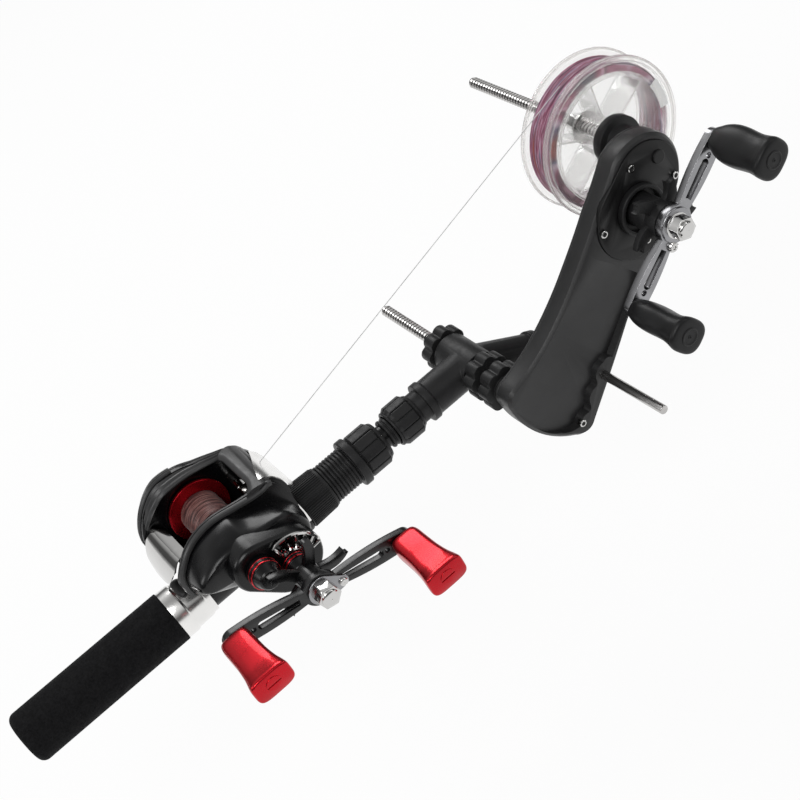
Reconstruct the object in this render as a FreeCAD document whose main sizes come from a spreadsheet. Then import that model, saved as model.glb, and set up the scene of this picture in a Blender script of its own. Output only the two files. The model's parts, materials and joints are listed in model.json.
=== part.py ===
import FreeCAD, Part
import math
import os
import Sketcher

# Fishing line winder: a hand grip with a reel seat and its casting reel, a sliding extension, a bracket with
# a cross bolt, and a swinging gearbox arm whose crank turns the spindle of the line spool.
# Origin at the butt end of the grip, +X along the handle, +Z towards the reel, +Y towards the line spool.

os.makedirs("parts", exist_ok=True)
doc = FreeCAD.newDocument("line_winder")
sheet = doc.addObject("Spreadsheet::Sheet", "Sizes")

SIZES = {
    # general fits
    "running_gap": 0.05,
    "body_gap": 0.3,
    # handle, along X
    "grip_length": 85.6,
    "grip_radius": 13.25,
    "grip_floor": 6.0,
    "grip_edge": 4.0,
    "core_radius": 5.5,
    "core_bore": 3.5,
    "core_end": 150.0,
    "rear_hood_end": 104.5,
    "rear_hood_radius": 12.3,
    "seat_end": 200.5,
    "seat_radius": 10.0,
    "seat_floor": 7.0,
    "foot_start": 97.0,
    "foot_end": 157.0,
    "foot_thick": 2.1,
    "foot_tab_width": 7.4,
    "foot_width": 13.0,
    "foot_shoulder": 8.0,
    "front_hood_start": 150.0,
    "front_hood_length": 12.6,
    "front_hood_radius": 12.0,
    "hood_nut_length": 16.0,
    "hood_nut_rear": 11.9,
    "hood_nut_front": 10.9,
    # extension tube and its two collet nuts
    "tube_start": 160.0,
    "tube_end": 262.0,
    "tube_radius": 6.0,
    "tube_bore": 4.2,
    "large_nut_start": 194.5,
    "large_nut_length": 19.5,
    "large_nut_ring": 12.8,
    "large_nut_ring_length": 4.5,
    "large_nut_radius": 11.8,
    "large_nut_nose": 10.4,
    "collet_length": 10.0,
    "collet_radius": 7.6,
    "small_nut_start": 220.6,
    "small_nut_length": 15.3,
    "small_nut_radius": 11.0,
    "small_nut_end_radius": 9.6,
    "small_nut_lip": 3.2,
    # bracket
    "spigot_start": 225.0,
    "spigot_radius": 8.2,
    "bracket_start": 240.5,
    "bracket_ring_radius": 10.6,
    "bracket_ring_length": 3.6,
    "bracket_tube_radius": 9.7,
    "cross_place": 271.2,
    "cross_radius": 10.2,
    "cross_left": 15.5,
    "cross_right": 10.4,
    "socket_drop": 29.0,
    "socket_reach": 39.0,
    "socket_root": 9.2,
    "socket_radius": 7.6,
    "socket_ring": 8.7,
    "socket_ring_length": 4.0,
    "socket_bore": 6.05,
    "socket_floor": 18.0,
    # cross bolt and star nuts
    "bolt_radius": 3.0,
    "bolt_end": 77.8,
    "bolt_seat": 42.5,
    "star_radius": 10.2,
    "star_lobe_place": 8.0,
    "star_lobe_radius": 3.9,
    "star_thick": 7.6,
    "star_washer_radius": 7.4,
    "star_washer_thick": 1.2,
    "star_lobes": 8,
    # gearbox arm, its own u axis along the arm from the cross bolt
    "arm_angle": 28.73,
    "case_back_face": 33.4,
    "case_split": 36.4,
    "case_edge": 1.6,
    "case_front_face": 46.3,
    "plate_step": 0.8,
    "plate_thick": 2.8,
    "spindle_place": 126.05,
    "crank_drop": 5.4,
    "gear_module": 0.75,
    "crank_teeth": 48,
    "spindle_teeth": 18,
    "gear_thick": 5.0,
    "gear_room": 0.6,
    "plate_top_place": 115.0,
    "plate_top_drop": 1.5,
    "plate_top_radius": 18.7,
    "plate_low_place": 98.0,
    "plate_low_drop": 5.5,
    "plate_low_radius": 21.6,
    "recess_slope": 5.85,
    "recess_flush": 4.0,
    "screw_radius": 1.8,
    "screw_proud": 0.4,
    "button_radius": 3.4,
    "button_height": 1.3,
    "pin_place": 26.2,
    "pin_drop": 38.4,
    "pin_radius": 2.25,
    "pin_end": 89.9,
    "pin_depth": 8.0,
    # crank
    "crank_shaft_radius": 4.0,
    "crank_bearing": 7.0,
    "spindle_bearing": 6.0,
    "gear_start": 0.7,
    "wheel_tilt": 12.0,
    "wheel_wing_width": 5.0,
    "crank_bow": 1.2,
    "crank_nut_tilt": 8.0,
    "collar_radius": 12.6,
    "collar_bore": 10.4,
    "collar_height": 3.6,
    "hub_radius": 8.2,
    "wheel_back": 61.0,
    "wheel_thick": 3.2,
    "wheel_reach": 19.0,
    "wheel_wings": 5,
    "crank_back": 68.4,
    "crank_thick": 4.2,
    "crank_reach": 41.3,
    "crank_tilt": 4.9,
    "crank_boss": 9.0,
    "crank_eye": 4.4,
    "crank_waist": 3.4,
    "crank_window_start": 3.5,
    "crank_window_end": 11.5,
    "crank_hole_place": 7.8,
    "crank_hole_radius": 1.4,
    "crank_nut_flats": 10.0,
    "crank_nut_height": 5.5,
    "crank_washer": 1.2,
    "crank_tip": 1.2,
    "knob_post_radius": 2.0,
    "knob_length": 36.0,
    "knob_neck": 5.4,
    "knob_belly": 9.4,
    "knob_rim": 9.6,
    "knob_half_thick": 6.0,
    "knob_floor": 3.5,
    # spindle and line spool
    "spindle_radius": 3.0,
    "spindle_end": 101.7,
    "flange_ring_radius": 12.4,
    "flange_ring_start": 21.0,
    "flange_face": 15.0,
    "flange_neck": 8.4,
    "spool_near": 14.2,
    "spool_far": 5.0,
    "spool_radius": 39.0,
    "spool_flange_thick": 1.8,
    "drum_depth": 8.0,
    "spool_drum_wall": 1.6,
    "spool_bore": 6.4,
    "spool_hub_wall": 1.6,
    "flange_nose": 3.0,
    "spool_ribs": 6,
    "spool_rib_thick": 1.4,
    "winding_depth": 3.5,
    "winding_crown": 1.4,
    "spool_washer": 1.5,
    "spool_nut_flats": 10.0,
    "spool_nut_height": 8.0,
    # reel on the seat
    "reel_place": 126.5,
    "reel_floor_thick": 1.0,
    "drive_place": 140.0,
    "drive_drop": 9.5,
    "reel_module": 0.4585,
    "reel_gear_teeth": 60,
    "reel_pinion_teeth": 12,
    "reel_palm_inside": 16.0,
    "reel_palm_outside": 19.0,
    "reel_palm_dome": 24.0,
    "reel_gear_inside": 17.5,
    "reel_gear_outside": 20.0,
    "reel_cover_step": 38.0,
    "reel_lobe_start": 30.0,
    "reel_cover_face": 46.0,
    "reel_cover_wall": 1.6,
    "reel_spool_radius": 15.5,
    "reel_spool_core": 8.0,
    "reel_spool_half": 15.0,
    "reel_flange_thick": 1.7,
    "reel_line_radius": 10.4,
    "reel_shaft_radius": 1.5,
    "reel_room": 0.9,
    "bearing_radius": 4.0,
    "bearing_thick": 2.5,
    "drive_shaft_radius": 3.0,
    "guide_place": 147.5,
    "guide_rise": 6.5,
    "guide_drop": 4.2,
    "guide_half": 3.0,
    "worm_radius": 2.2,
    "tension_radius": 7.2,
    "tension_nose": 5.2,
    "tension_height": 10.6,
    "cap_radius": 6.8,
    "cap_nose": 4.8,
    "cap_height": 10.4,
    "drag_back": 58.0,
    "drag_thick": 3.0,
    "drag_hub": 6.5,
    "drag_reach": 20.5,
    "drag_wings": 5,
    "handle_back": 68.0,
    "handle_thick": 3.6,
    "handle_reach": 43.2,
    "handle_tilt": 13.3,
    "handle_boss": 8.0,
    "handle_eye": 4.7,
    "handle_waist": 3.3,
    "handle_window_start": 3.0,
    "handle_window_end": 13.0,
    "handle_hole_place": 9.0,
    "handle_hole_radius": 1.2,
    "handle_nut_flats": 10.0,
    "handle_nut_height": 7.5,
    "red_knob_length": 34.0,
    "red_knob_base": 5.8,
    "red_knob_waist": 6.2,
    "red_knob_end": 9.6,
    "red_knob_half_thick": 4.6,
    "palm_step": 3.0,
    "palm_inset": 7.0,
    "drive_bulge": 16.0,
    "spool_bulge": 12.0,
    "worm_seat": 2.0,
    "reel_gears_start": 33.0,
    "reel_gears_thick": 5.0,
    "drag_tilt": -12.0,
    "drag_wing_width": 4.4,
    "handle_bow": 1.2,
    "ornament_thick": 2.2,
    "ornament_inner": 7.4,
    "ornament_outer": 15.4,
    "ornament_start": 5.0,
    "ornament_spread": 100.0,
    # the line between the reel and the spool
    "line_radius": 0.2,
    "line_split": 0.5,
    "line_spool_side": 4.5,
}


class Size:
    """A number together with the spreadsheet expression that gives it."""

    def __init__(self, value, text):
        self.value = value
        self.text = text

    def __add__(self, other):
        other = as_size(other)
        return Size(self.value + other.value, f"({self.text} + {other.text})")

    def __sub__(self, other):
        other = as_size(other)
        return Size(self.value - other.value, f"({self.text} - {other.text})")

    def __mul__(self, other):
        other = as_size(other)
        return Size(self.value * other.value, f"({self.text} * {other.text})")

    def __truediv__(self, other):
        other = as_size(other)
        return Size(self.value / other.value, f"({self.text} / {other.text})")

    def __neg__(self):
        return Size(-self.value, f"(0 - {self.text})")

    def __radd__(self, other):
        return as_size(other) + self

    def __rsub__(self, other):
        return as_size(other) - self

    def __rmul__(self, other):
        return as_size(other) * self

    def __rtruediv__(self, other):
        return as_size(other) / self


def as_size(item):
    """Wrap a plain number as a Size."""
    return item if isinstance(item, Size) else Size(float(item), f"({float(item)!r})")


def root(item):
    return Size(math.sqrt(item.value), f"sqrt({item.text})")


def cosine(item):
    item = as_size(item)
    return Size(math.cos(math.radians(item.value)), f"cos({item.text})")


def sine(item):
    item = as_size(item)
    return Size(math.sin(math.radians(item.value)), f"sin({item.text})")


def arctangent(across, along):
    """The angle in degrees whose tangent is across / along, for a positive along."""
    value = math.degrees(math.atan(across.value / along.value))
    return Size(value, f"(atan({across.text} / {along.text}) / 1 deg)")


def arccosine(item):
    return Size(math.degrees(math.acos(item.value)), f"(acos({item.text}) / 1 deg)")


class Sheet:
    """Gives each alias of the spreadsheet as a Size."""

    def __getattr__(self, name):
        return Size(float(SIZES[name]), f"Sizes.{name}")


for row, (alias, number) in enumerate(SIZES.items(), start=1):
    sheet.set(f"A{row}", alias)
    sheet.set(f"B{row}", str(number))
    sheet.setAlias(f"B{row}", alias)
doc.recompute()
S = Sheet()
nodes = []


# ---------------------------------------------------------------- building blocks

def new_body(label, spot=None):
    """A body whose origin stands at spot: (x, z), or (x, z, tilt) with the tilt from +X towards +Z."""
    body = doc.addObject("PartDesign::Body", label)
    body.Label = label
    nodes.append(body)
    if spot:
        east, up, tilt = (list(spot) + [0.0])[:3]
        east, up, tilt = as_size(east), as_size(up), as_size(tilt)
        turn = f"rotation(vector(0; -1; 0); {tilt.text})"
        body.setExpression("Placement", f"placement(vector({east.text}; 0; {up.text}); {turn})")
    return body


def plane_of(body, role):
    return next(item for item in body.Origin.OriginFeatures if item.Role == role)


def sketch_on(body, plane="XY_Plane", offset=None):
    """A sketch on one of the body's own planes, moved along the plane's normal by offset."""
    sketch = body.newObject("Sketcher::SketchObject", body.Name + "_sketch")
    sketch.AttachmentSupport = [(plane_of(body, plane), "")]
    sketch.MapMode = "FlatFace"
    if offset is not None:
        sketch.setExpression("AttachmentOffset.Base.z", as_size(offset).text)
    return sketch


def pin(sketch, geometry, point, x, y):
    """Hold one point of a sketch at (x, y) with two bound constraints."""
    for kind, size in (("DistanceX", x), ("DistanceY", y)):
        rule = sketch.addConstraint(Sketcher.Constraint(kind, -1, 1, geometry, point, size.value))
        sketch.setExpression(f"Constraints[{rule}]", size.text)


def draw(sketch, corners):
    """A closed outline. A third value on a corner bulges the side that starts there, to its left."""
    spots = [(as_size(corner[0]), as_size(corner[1])) for corner in corners]
    bulges = [as_size(corner[2]) if len(corner) > 2 else None for corner in corners]
    sides = []
    for index, bulge in enumerate(bulges):
        start, end = spots[index], spots[(index + 1) % len(spots)]
        first = FreeCAD.Vector(start[0].value, start[1].value, 0)
        last = FreeCAD.Vector(end[0].value, end[1].value, 0)
        if bulge is None:
            sides.append((sketch.addGeometry(Part.LineSegment(first, last)), 1, 2))
            continue
        chord = last - first
        left = FreeCAD.Vector(-chord.y, chord.x, 0).normalize()
        crest = (first + last) / 2 + left * bulge.value
        arc = sketch.addGeometry(Part.Arc(first, crest, last))
        kept = sketch.getPoint(arc, 1).distanceToPoint(first) < sketch.getPoint(arc, 2).distanceToPoint(first)
        sides.append((arc, 1, 2) if kept else (arc, 2, 1))
    for index, (side, near, far) in enumerate(sides):
        follower = sides[(index + 1) % len(sides)]
        sketch.addConstraint(Sketcher.Constraint("Coincident", side, far, follower[0], follower[1]))
        pin(sketch, side, near, *spots[index])
    for index, bulge in enumerate(bulges):
        if bulge is None:
            continue
        start, end = spots[index], spots[(index + 1) % len(spots)]
        across, along = end[0] - start[0], end[1] - start[1]
        rise = bulge if bulge.value > 0 else -bulge
        radius = (across * across + along * along) / (8 * rise) + rise / 2
        rule = sketch.addConstraint(Sketcher.Constraint("Radius", sides[index][0], radius.value))
        sketch.setExpression(f"Constraints[{rule}]", radius.text)


def circle(sketch, x, y, radius):
    x, y, radius = as_size(x), as_size(y), as_size(radius)
    middle = FreeCAD.Vector(x.value, y.value, 0)
    ring = sketch.addGeometry(Part.Circle(middle, FreeCAD.Vector(0, 0, 1), radius.value))
    rule = sketch.addConstraint(Sketcher.Constraint("Radius", ring, radius.value))
    sketch.setExpression(f"Constraints[{rule}]", radius.text)
    pin(sketch, ring, 3, x, y)


def polygon(sketch, sides, flats):
    """A regular polygon about the sketch's origin, across its flats."""
    reach = flats / (2 * cosine(180 / sides))
    draw(sketch, [(reach * cosine(360 * step / sides), reach * sine(360 * step / sides))
                  for step in range(sides)])


def turned(label, corners, along="X", spot=None):
    """A solid of revolution; each corner is (place along the axis, radius)."""
    body = new_body(label, spot)
    revolve(body, corners, along)
    return body


def revolve(body, corners, along="X", kind="Revolution"):
    sketch = sketch_on(body)
    swap = along == "Y"
    draw(sketch, [((corner[1], corner[0]) if swap else (corner[0], corner[1])) + tuple(corner[2:])
                  for corner in corners])
    turn = body.newObject("PartDesign::" + kind, body.Name + "_turn")
    turn.Profile = sketch
    turn.ReferenceAxis = (sketch, ["V_Axis" if swap else "H_Axis"])
    turn.Angle = 360
    sketch.Visibility = False
    return turn


NORMALS = {"XY_Plane": 1, "XZ_Plane": -1, "YZ_Plane": 1}


def extrude(body, plane, low, high, shapes, cut=False):
    """Pad, or pocket when cut, the drawn shapes between two places on the plane's positive axis."""
    low, high = as_size(low), as_size(high)
    sign = NORMALS[plane]
    at_high = cut if sign > 0 else not cut
    start = high if at_high else low
    sketch = sketch_on(body, plane, start if sign > 0 else -start)
    for shape in shapes:
        shape(sketch)
    kind = "Pocket" if cut else "Pad"
    feature = body.newObject("PartDesign::" + kind, body.Name + "_" + kind.lower())
    feature.Profile = sketch
    feature.setExpression("Length", (high - low).text)
    sketch.Visibility = False
    return feature


def side_loft(body, first, first_place, second, second_place, kind):
    """Join two outlines at two places on Y into one solid, or into one room."""
    profile = sketch_on(body, "XZ_Plane", -first_place)
    first(profile)
    section = sketch_on(body, "XZ_Plane", -second_place)
    second(section)
    loft = body.newObject("PartDesign::" + kind, body.Name + "_loft")
    loft.Profile = profile
    loft.Sections = [section]
    loft.Ruled = True
    profile.Visibility = section.Visibility = False
    return loft


def repeat(body, feature, count, axis="Y_Axis"):
    """Copy a feature evenly round one of the body's own axes."""
    pattern = body.newObject("PartDesign::PolarPattern", body.Name + "_ring")
    pattern.Originals = [feature]
    pattern.Axis = (plane_of(body, axis), [""])
    pattern.Angle = 360
    pattern.setExpression("Occurrences", count.text)
    body.Tip = pattern
    return pattern


def round_edges(body, radius, wanted, kind="Fillet"):
    """Fillet or chamfer the edges of the body's last feature that the test picks."""
    doc.recompute()
    base = body.Tip
    names = [f"Edge{number}" for number, edge in enumerate(base.Shape.Edges, start=1) if wanted(edge)]
    if not names:
        raise ValueError("no edge to round on " + body.Label)
    edging = body.newObject("PartDesign::" + kind, body.Name + "_" + kind.lower())
    edging.Base = (base, names)
    edging.setExpression("Radius" if kind == "Fillet" else "Size", as_size(radius).text)
    return edging


def on_plane_y(place, slack=0.01):
    """Picks edges that lie in the plane y = place."""
    target = as_size(place).value

    def test(edge):
        box = edge.BoundBox
        return abs(box.YMin - target) < slack and abs(box.YMax - target) < slack
    return test


def rod(label, low, high, radius, spot=None):
    """A plain round bar along Y."""
    return turned(label, [(low, 0), (high, 0), (high, radius), (low, radius)], "Y", spot)


def tube(label, low, high, radius, bore, along="X", spot=None):
    return turned(label, [(low, bore), (high, bore), (high, radius), (low, radius)], along, spot)


def gear_wire(teeth, module, phase, backlash):
    """The outline of a spur gear with involute flanks, in the XZ plane."""
    pressure = math.radians(25)
    pitch = module * teeth / 2
    base = pitch * math.cos(pressure)
    tip = pitch + 0.6 * module
    floor = pitch - 0.85 * module
    half = math.pi / (2 * teeth) - backlash / (2 * pitch)
    involute = math.tan(pressure) - pressure
    radii = [max(base, floor) + (tip - max(base, floor)) * step / 4 for step in range(5)]
    flank = []
    for radius in radii:
        lean = math.acos(min(1.0, base / radius))
        flank.append((radius, half + involute - (math.tan(lean) - lean)))
    if floor < base:
        flank.insert(0, (floor, flank[0][1]))
    points = []
    for tooth in range(teeth):
        middle = phase + 2 * math.pi * tooth / teeth
        points += [(radius, middle - spread) for radius, spread in flank]
        points += [(radius, middle + spread) for radius, spread in reversed(flank)]
    spots = [FreeCAD.Vector(radius * math.cos(angle), 0, radius * math.sin(angle))
             for radius, angle in points]
    return Part.makePolygon(spots + [spots[0]])


def gear(label, teeth, module, phase, low, high, bore, spot):
    """A spur gear about the Y axis at spot; phase is the angle of one tooth from +X towards +Z."""
    outline = gear_wire(int(teeth.value), module.value, math.radians(phase.value), 0.08)
    blank = Part.Face(outline).extrude(FreeCAD.Vector(0, (high - low).value, 0))
    hole = Part.makeCylinder(bore.value, (high - low).value, FreeCAD.Vector(0, 0, 0), FreeCAD.Vector(0, 1, 0))
    wheel = doc.addObject("Part::Feature", label)
    wheel.Label = label
    wheel.Shape = blank.cut(hole)
    east, up, tilt = (list(spot) + [0.0])[:3]
    turn = FreeCAD.Rotation(FreeCAD.Vector(0, -1, 0), as_size(tilt).value)
    wheel.Placement = FreeCAD.Placement(FreeCAD.Vector(east.value, low.value, up.value), turn)
    nodes.append(wheel)
    return wheel


# ---------------------------------------------------------------- handle and reel seat

def make_grip():
    body = turned("eva_grip", [
        (0, 0), (0, S.grip_radius), (S.grip_length, S.grip_radius),
        (S.grip_length, S.core_radius), (S.grip_floor, S.core_radius), (S.grip_floor, 0)])

    def butt(edge):
        return edge.BoundBox.XMax < 0.01 and edge.BoundBox.YLength > 1
    round_edges(body, S.grip_edge, butt)


def make_core():
    tube("handle_core", S.grip_floor, S.core_end, S.core_radius, S.core_bore)


def tab_box(sketch):
    """The section of the foot's tab where a hood holds it."""
    half = S.foot_tab_width / 2 + S.running_gap
    top = S.seat_floor + S.foot_thick + S.running_gap
    draw(sketch, [(-half, S.seat_floor), (half, S.seat_floor), (half, top), (-half, top)])


def make_rear_hood():
    body = tube("rear_hood", S.grip_length, S.rear_hood_end, S.rear_hood_radius, S.core_radius)
    extrude(body, "YZ_Plane", S.foot_start, S.rear_hood_end, [tab_box], cut=True)


def make_seat():
    body = turned("reel_seat", [
        (S.rear_hood_end, S.core_radius), (S.rear_hood_end, S.seat_radius), (S.seat_end, S.seat_radius),
        (S.seat_end, S.tube_radius + S.running_gap), (S.core_end, S.tube_radius + S.running_gap),
        (S.core_end, S.core_radius)])

    def above_floor(sketch):
        top = S.seat_radius + 1
        draw(sketch, [(-S.seat_radius, S.seat_floor), (S.seat_radius, S.seat_floor),
                      (S.seat_radius, top), (-S.seat_radius, top)])
    extrude(body, "YZ_Plane", S.rear_hood_end, S.foot_end + S.body_gap, [above_floor], cut=True)


def make_front_hood():
    tube("front_hood", S.front_hood_start, S.front_hood_start + S.front_hood_length,
         S.front_hood_radius, S.seat_radius + S.running_gap)


def make_hood_nut():
    start = S.front_hood_start + S.front_hood_length + S.body_gap
    end = start + S.hood_nut_length
    bore = S.seat_radius + S.running_gap
    turned("hood_nut", [(start, bore), (end, bore), (end, S.hood_nut_front), (start, S.hood_nut_rear)])


def make_large_nut():
    start, ring_end = S.large_nut_start, S.large_nut_start + S.large_nut_ring_length
    end = start + S.large_nut_length
    bore, throat = S.seat_radius + S.running_gap, S.collet_radius + S.body_gap
    turned("collet_nut_large", [
        (start, bore), (start, S.large_nut_ring - 0.8), (start + 0.8, S.large_nut_ring),
        (ring_end, S.large_nut_ring), (ring_end + 0.8, S.large_nut_radius),
        (end - 1.4, S.large_nut_radius), (end, S.large_nut_nose), (end, throat),
        (S.seat_end + S.body_gap, throat), (S.seat_end + S.body_gap, bore)])


def make_collet():
    start = S.seat_end
    body = tube("seat_collet", start, start + S.collet_length, S.collet_radius,
                S.tube_radius + S.running_gap)

    def slot(sketch):
        draw(sketch, [(start + 3, S.core_bore), (start + S.collet_length, S.core_bore),
                      (start + S.collet_length, S.collet_radius + 1), (start + 3, S.collet_radius + 1)])
    cut = extrude(body, "XZ_Plane", -0.5, 0.5, [slot], cut=True)
    repeat(body, cut, Size(4, "4"), "X_Axis")


def make_small_nut():
    start, end = S.small_nut_start, S.small_nut_start + S.small_nut_length
    bore, throat = S.spigot_radius + S.running_gap, S.tube_radius + S.body_gap
    turned("collet_nut_small", [
        (start, throat), (start, S.small_nut_end_radius), (start + 1.2, S.small_nut_radius),
        (end - 2.4, S.small_nut_radius), (end - 1.2, S.small_nut_end_radius), (end, S.small_nut_end_radius),
        (end, bore), (start + S.small_nut_lip, bore), (start + S.small_nut_lip, throat)])


# ---------------------------------------------------------------- extension, bracket and cross bolt

def make_extension():
    tube("extension_tube", S.tube_start, S.tube_end - S.bolt_radius, S.tube_radius, S.tube_bore)


def make_bracket():
    """A T-shaped body: tube end, cross tube and an open socket that leans down to the front."""
    body = turned("bracket", [
        (S.spigot_start, S.tube_radius), (S.spigot_start, S.spigot_radius),
        (S.bracket_start, S.spigot_radius), (S.bracket_start, S.bracket_ring_radius),
        (S.bracket_start + S.bracket_ring_length, S.bracket_ring_radius),
        (S.bracket_start + S.bracket_ring_length + 1, S.bracket_tube_radius),
        (S.cross_place, S.bracket_tube_radius), (S.cross_place, 0),
        (S.tube_end, 0), (S.tube_end, S.tube_radius)])

    def cross(sketch):
        circle(sketch, S.cross_place, 0, S.cross_radius)
    extrude(body, "XZ_Plane", -S.cross_right, S.cross_left, [cross])
    ring_start = S.socket_reach - S.socket_ring_length
    socket = revolve(body, [
        (0, 0), (S.socket_floor, 0), (S.socket_floor, S.socket_bore), (S.socket_reach, S.socket_bore),
        (S.socket_reach, S.socket_ring), (ring_start, S.socket_ring), (ring_start, S.socket_radius),
        (0, S.socket_root)])
    turn = f"rotation(vector(0; 1; 0); {S.socket_drop.text})"
    offset = f"placement(vector({S.cross_place.text}; 0; 0); {turn})"
    socket.Profile[0].setExpression("AttachmentOffset", offset)

    def bore(sketch):
        circle(sketch, S.cross_place, 0, S.bolt_radius + S.running_gap)
    extrude(body, "XZ_Plane", -(S.cross_right + 1), S.cross_left + 1, [bore], cut=True)


def make_cross_bolt():
    rod("cross_bolt", -S.bolt_seat, S.bolt_end, S.bolt_radius, (S.cross_place, 0, S.arm_angle))


def make_star_nut(label, low, sign):
    """A lobed clamp nut; its washer face looks along sign of Y."""
    body = new_body(label, (S.cross_place, 0, S.arm_angle))
    high = low + S.star_thick

    def hub(sketch):
        circle(sketch, 0, 0, S.star_radius)

    def lobe(sketch):
        circle(sketch, S.star_lobe_place, 0, S.star_lobe_radius)

    def washer(sketch):
        circle(sketch, 0, 0, S.star_washer_radius)

    def bore(sketch):
        circle(sketch, 0, 0, S.bolt_radius + S.running_gap)
    extrude(body, "XZ_Plane", low, high, [hub])
    repeat(body, extrude(body, "XZ_Plane", low, high, [lobe]), S.star_lobes)
    if sign > 0:
        extrude(body, "XZ_Plane", high, high + S.star_washer_thick, [washer])
    else:
        extrude(body, "XZ_Plane", low - S.star_washer_thick, low, [washer])
    extrude(body, "XZ_Plane", low - 2 * S.star_washer_thick, high + 2 * S.star_washer_thick, [bore], cut=True)


def make_star_nuts():
    room = S.body_gap + S.star_washer_thick
    make_star_nut("star_nut_a", S.cross_left + room, -1)
    make_star_nut("star_nut_b", -(S.cross_right + room + S.star_thick), 1)
    make_star_nut("star_nut_c", -(S.case_back_face - room), -1)


# ---------------------------------------------------------------- gearbox arm

QUARTER_RISE = 1 - math.sqrt(0.5)
CENTRES = S.gear_module * (S.crank_teeth + S.spindle_teeth) / 2
CRANK_PLACE = S.spindle_place - root(CENTRES * CENTRES - S.crank_drop * S.crank_drop)
CRANK_LEAN = arctangent(S.crank_drop, S.spindle_place - CRANK_PLACE)


def arm_spot(along, across=0.0, tilt=0.0):
    """The place of a point of the arm, from its distance along the arm and across it, towards +Z."""
    along, across = as_size(along), as_size(across)
    lean, rise = cosine(S.arm_angle), sine(S.arm_angle)
    return (S.cross_place + along * lean - across * rise, along * rise + across * lean,
            S.arm_angle + as_size(tilt))


ARM = (S.cross_place, 0, S.arm_angle)

# The housing's outline: (along the arm, across it, bulge of the side to the next corner)
CASE = [(-7.5, 3.4, -5.3), (-5.8, -42.4, -2.6), (5.0, -48.7, -0.3), (53.8, -36.0, 0.4), (94.0, -27.4, -0.6),
        (113.0, -23.2, -6.4), (136.6, 0.0, -6.4), (113.0, 20.5, 0.4), (88.5, 14.6, 0.3), (60.0, 8.4, 0.7),
        (30.0, 5.2, 1.2), (1.0, 9.2, -1.9)]


def case_outline(sketch, inset=0.0):
    """The housing's outline, its corners moved in by the inset along their bisectors."""
    corners = []
    for index, (along, across, bulge) in enumerate(CASE):
        before, after = CASE[index - 1], CASE[(index + 1) % len(CASE)]
        reach = math.hypot(after[0] - before[0], after[1] - before[1])
        inward = ((before[1] - after[1]) / reach, (after[0] - before[0]) / reach)
        corners.append((along + inset * inward[0], across + inset * inward[1], bulge))
    draw(sketch, corners)


def case_bevel(sketch):
    case_outline(sketch, S.case_edge)


def plate_outline(grow):
    """The cover plate's egg: two arcs joined by their outer tangents, grown by a clearance."""
    def shape(sketch):
        big, small = S.plate_low_radius + grow, S.plate_top_radius + grow
        across, along = S.plate_low_drop - S.plate_top_drop, S.plate_top_place - S.plate_low_place
        span = root(across * across + along * along)
        lean = arctangent(across, along)
        open_angle = arccosine((big - small) / span)
        up, down = lean + open_angle, lean - open_angle

        def spot(middle_x, middle_z, radius, angle):
            return (middle_x + radius * cosine(angle), -middle_z + radius * sine(angle))
        low_top = spot(S.plate_low_place, S.plate_low_drop, big, up)
        low_bottom = spot(S.plate_low_place, S.plate_low_drop, big, down)
        high_bottom = spot(S.plate_top_place, S.plate_top_drop, small, down)
        high_top = spot(S.plate_top_place, S.plate_top_drop, small, up)
        high_rise = small * (1 - cosine(open_angle)) * 0.999
        far = spot(S.plate_low_place, S.plate_low_drop, big, lean + 180)
        low_rise = big * (1 - cosine((180 - open_angle) / 2))
        draw(sketch, [low_bottom, high_bottom + (-high_rise,), high_top, low_top + (-low_rise,),
                      far + (-low_rise,)])
    return shape


def round_at(along, drop, radius):
    """A circle at a place of the arm, its drop counted away from +Z."""
    def shape(sketch):
        circle(sketch, along, -as_size(drop), radius)
    return shape


PLATE_SCREWS = [(115.0, -11.6), (123.2, 14.8), (83.7, -7.1), (91.5, 19.0)]
CASE_SCREWS = [(0.9, 41.1)]


def make_case_back():
    body = new_body("case_back", ARM)
    bevel_start = -S.case_back_face - S.case_edge
    extrude(body, "XZ_Plane", -S.case_split, bevel_start, [case_outline])
    side_loft(body, case_outline, bevel_start, case_bevel, -S.case_back_face, "AdditiveLoft")
    holes = [round_at(S.spindle_place, 0, S.spindle_bearing), round_at(0, 0, S.bolt_radius)]
    extrude(body, "XZ_Plane", -S.case_split, -S.case_back_face, holes, cut=True)


def gear_rooms():
    """The two round rooms of the gears, as (along, drop, radius)."""
    crank_room = S.gear_module * (S.crank_teeth / 2 + 0.6) + S.gear_room
    spindle_room = S.gear_module * (S.spindle_teeth / 2 + 0.6) + S.gear_room
    return [(CRANK_PLACE, S.crank_drop, crank_room), (S.spindle_place, Size(0, "0"), spindle_room)]


# The scooped lower face: round the plate at its top, wavy round the bosses at its side
RECESS = [(70.5, 9.0, 0.8), (76.0, -26.0), (70.0, -29.6), (47.0, -34.6), (35.5, -37.2, -1.4), (31.4, -33.6, -1.6),
          (23.0, -34.4, 0.6), (19.6, -37.2, -2.0), (10.6, -39.6, 0.6), (7.2, -41.4, -1.6), (-1.0, -40.6, 1.2),
          (-7.6, -31.0, 2.0), (-9.0, -12.0, 0.6), (-5.0, 9.0)]


def recess(sketch):
    draw(sketch, RECESS)


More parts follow.
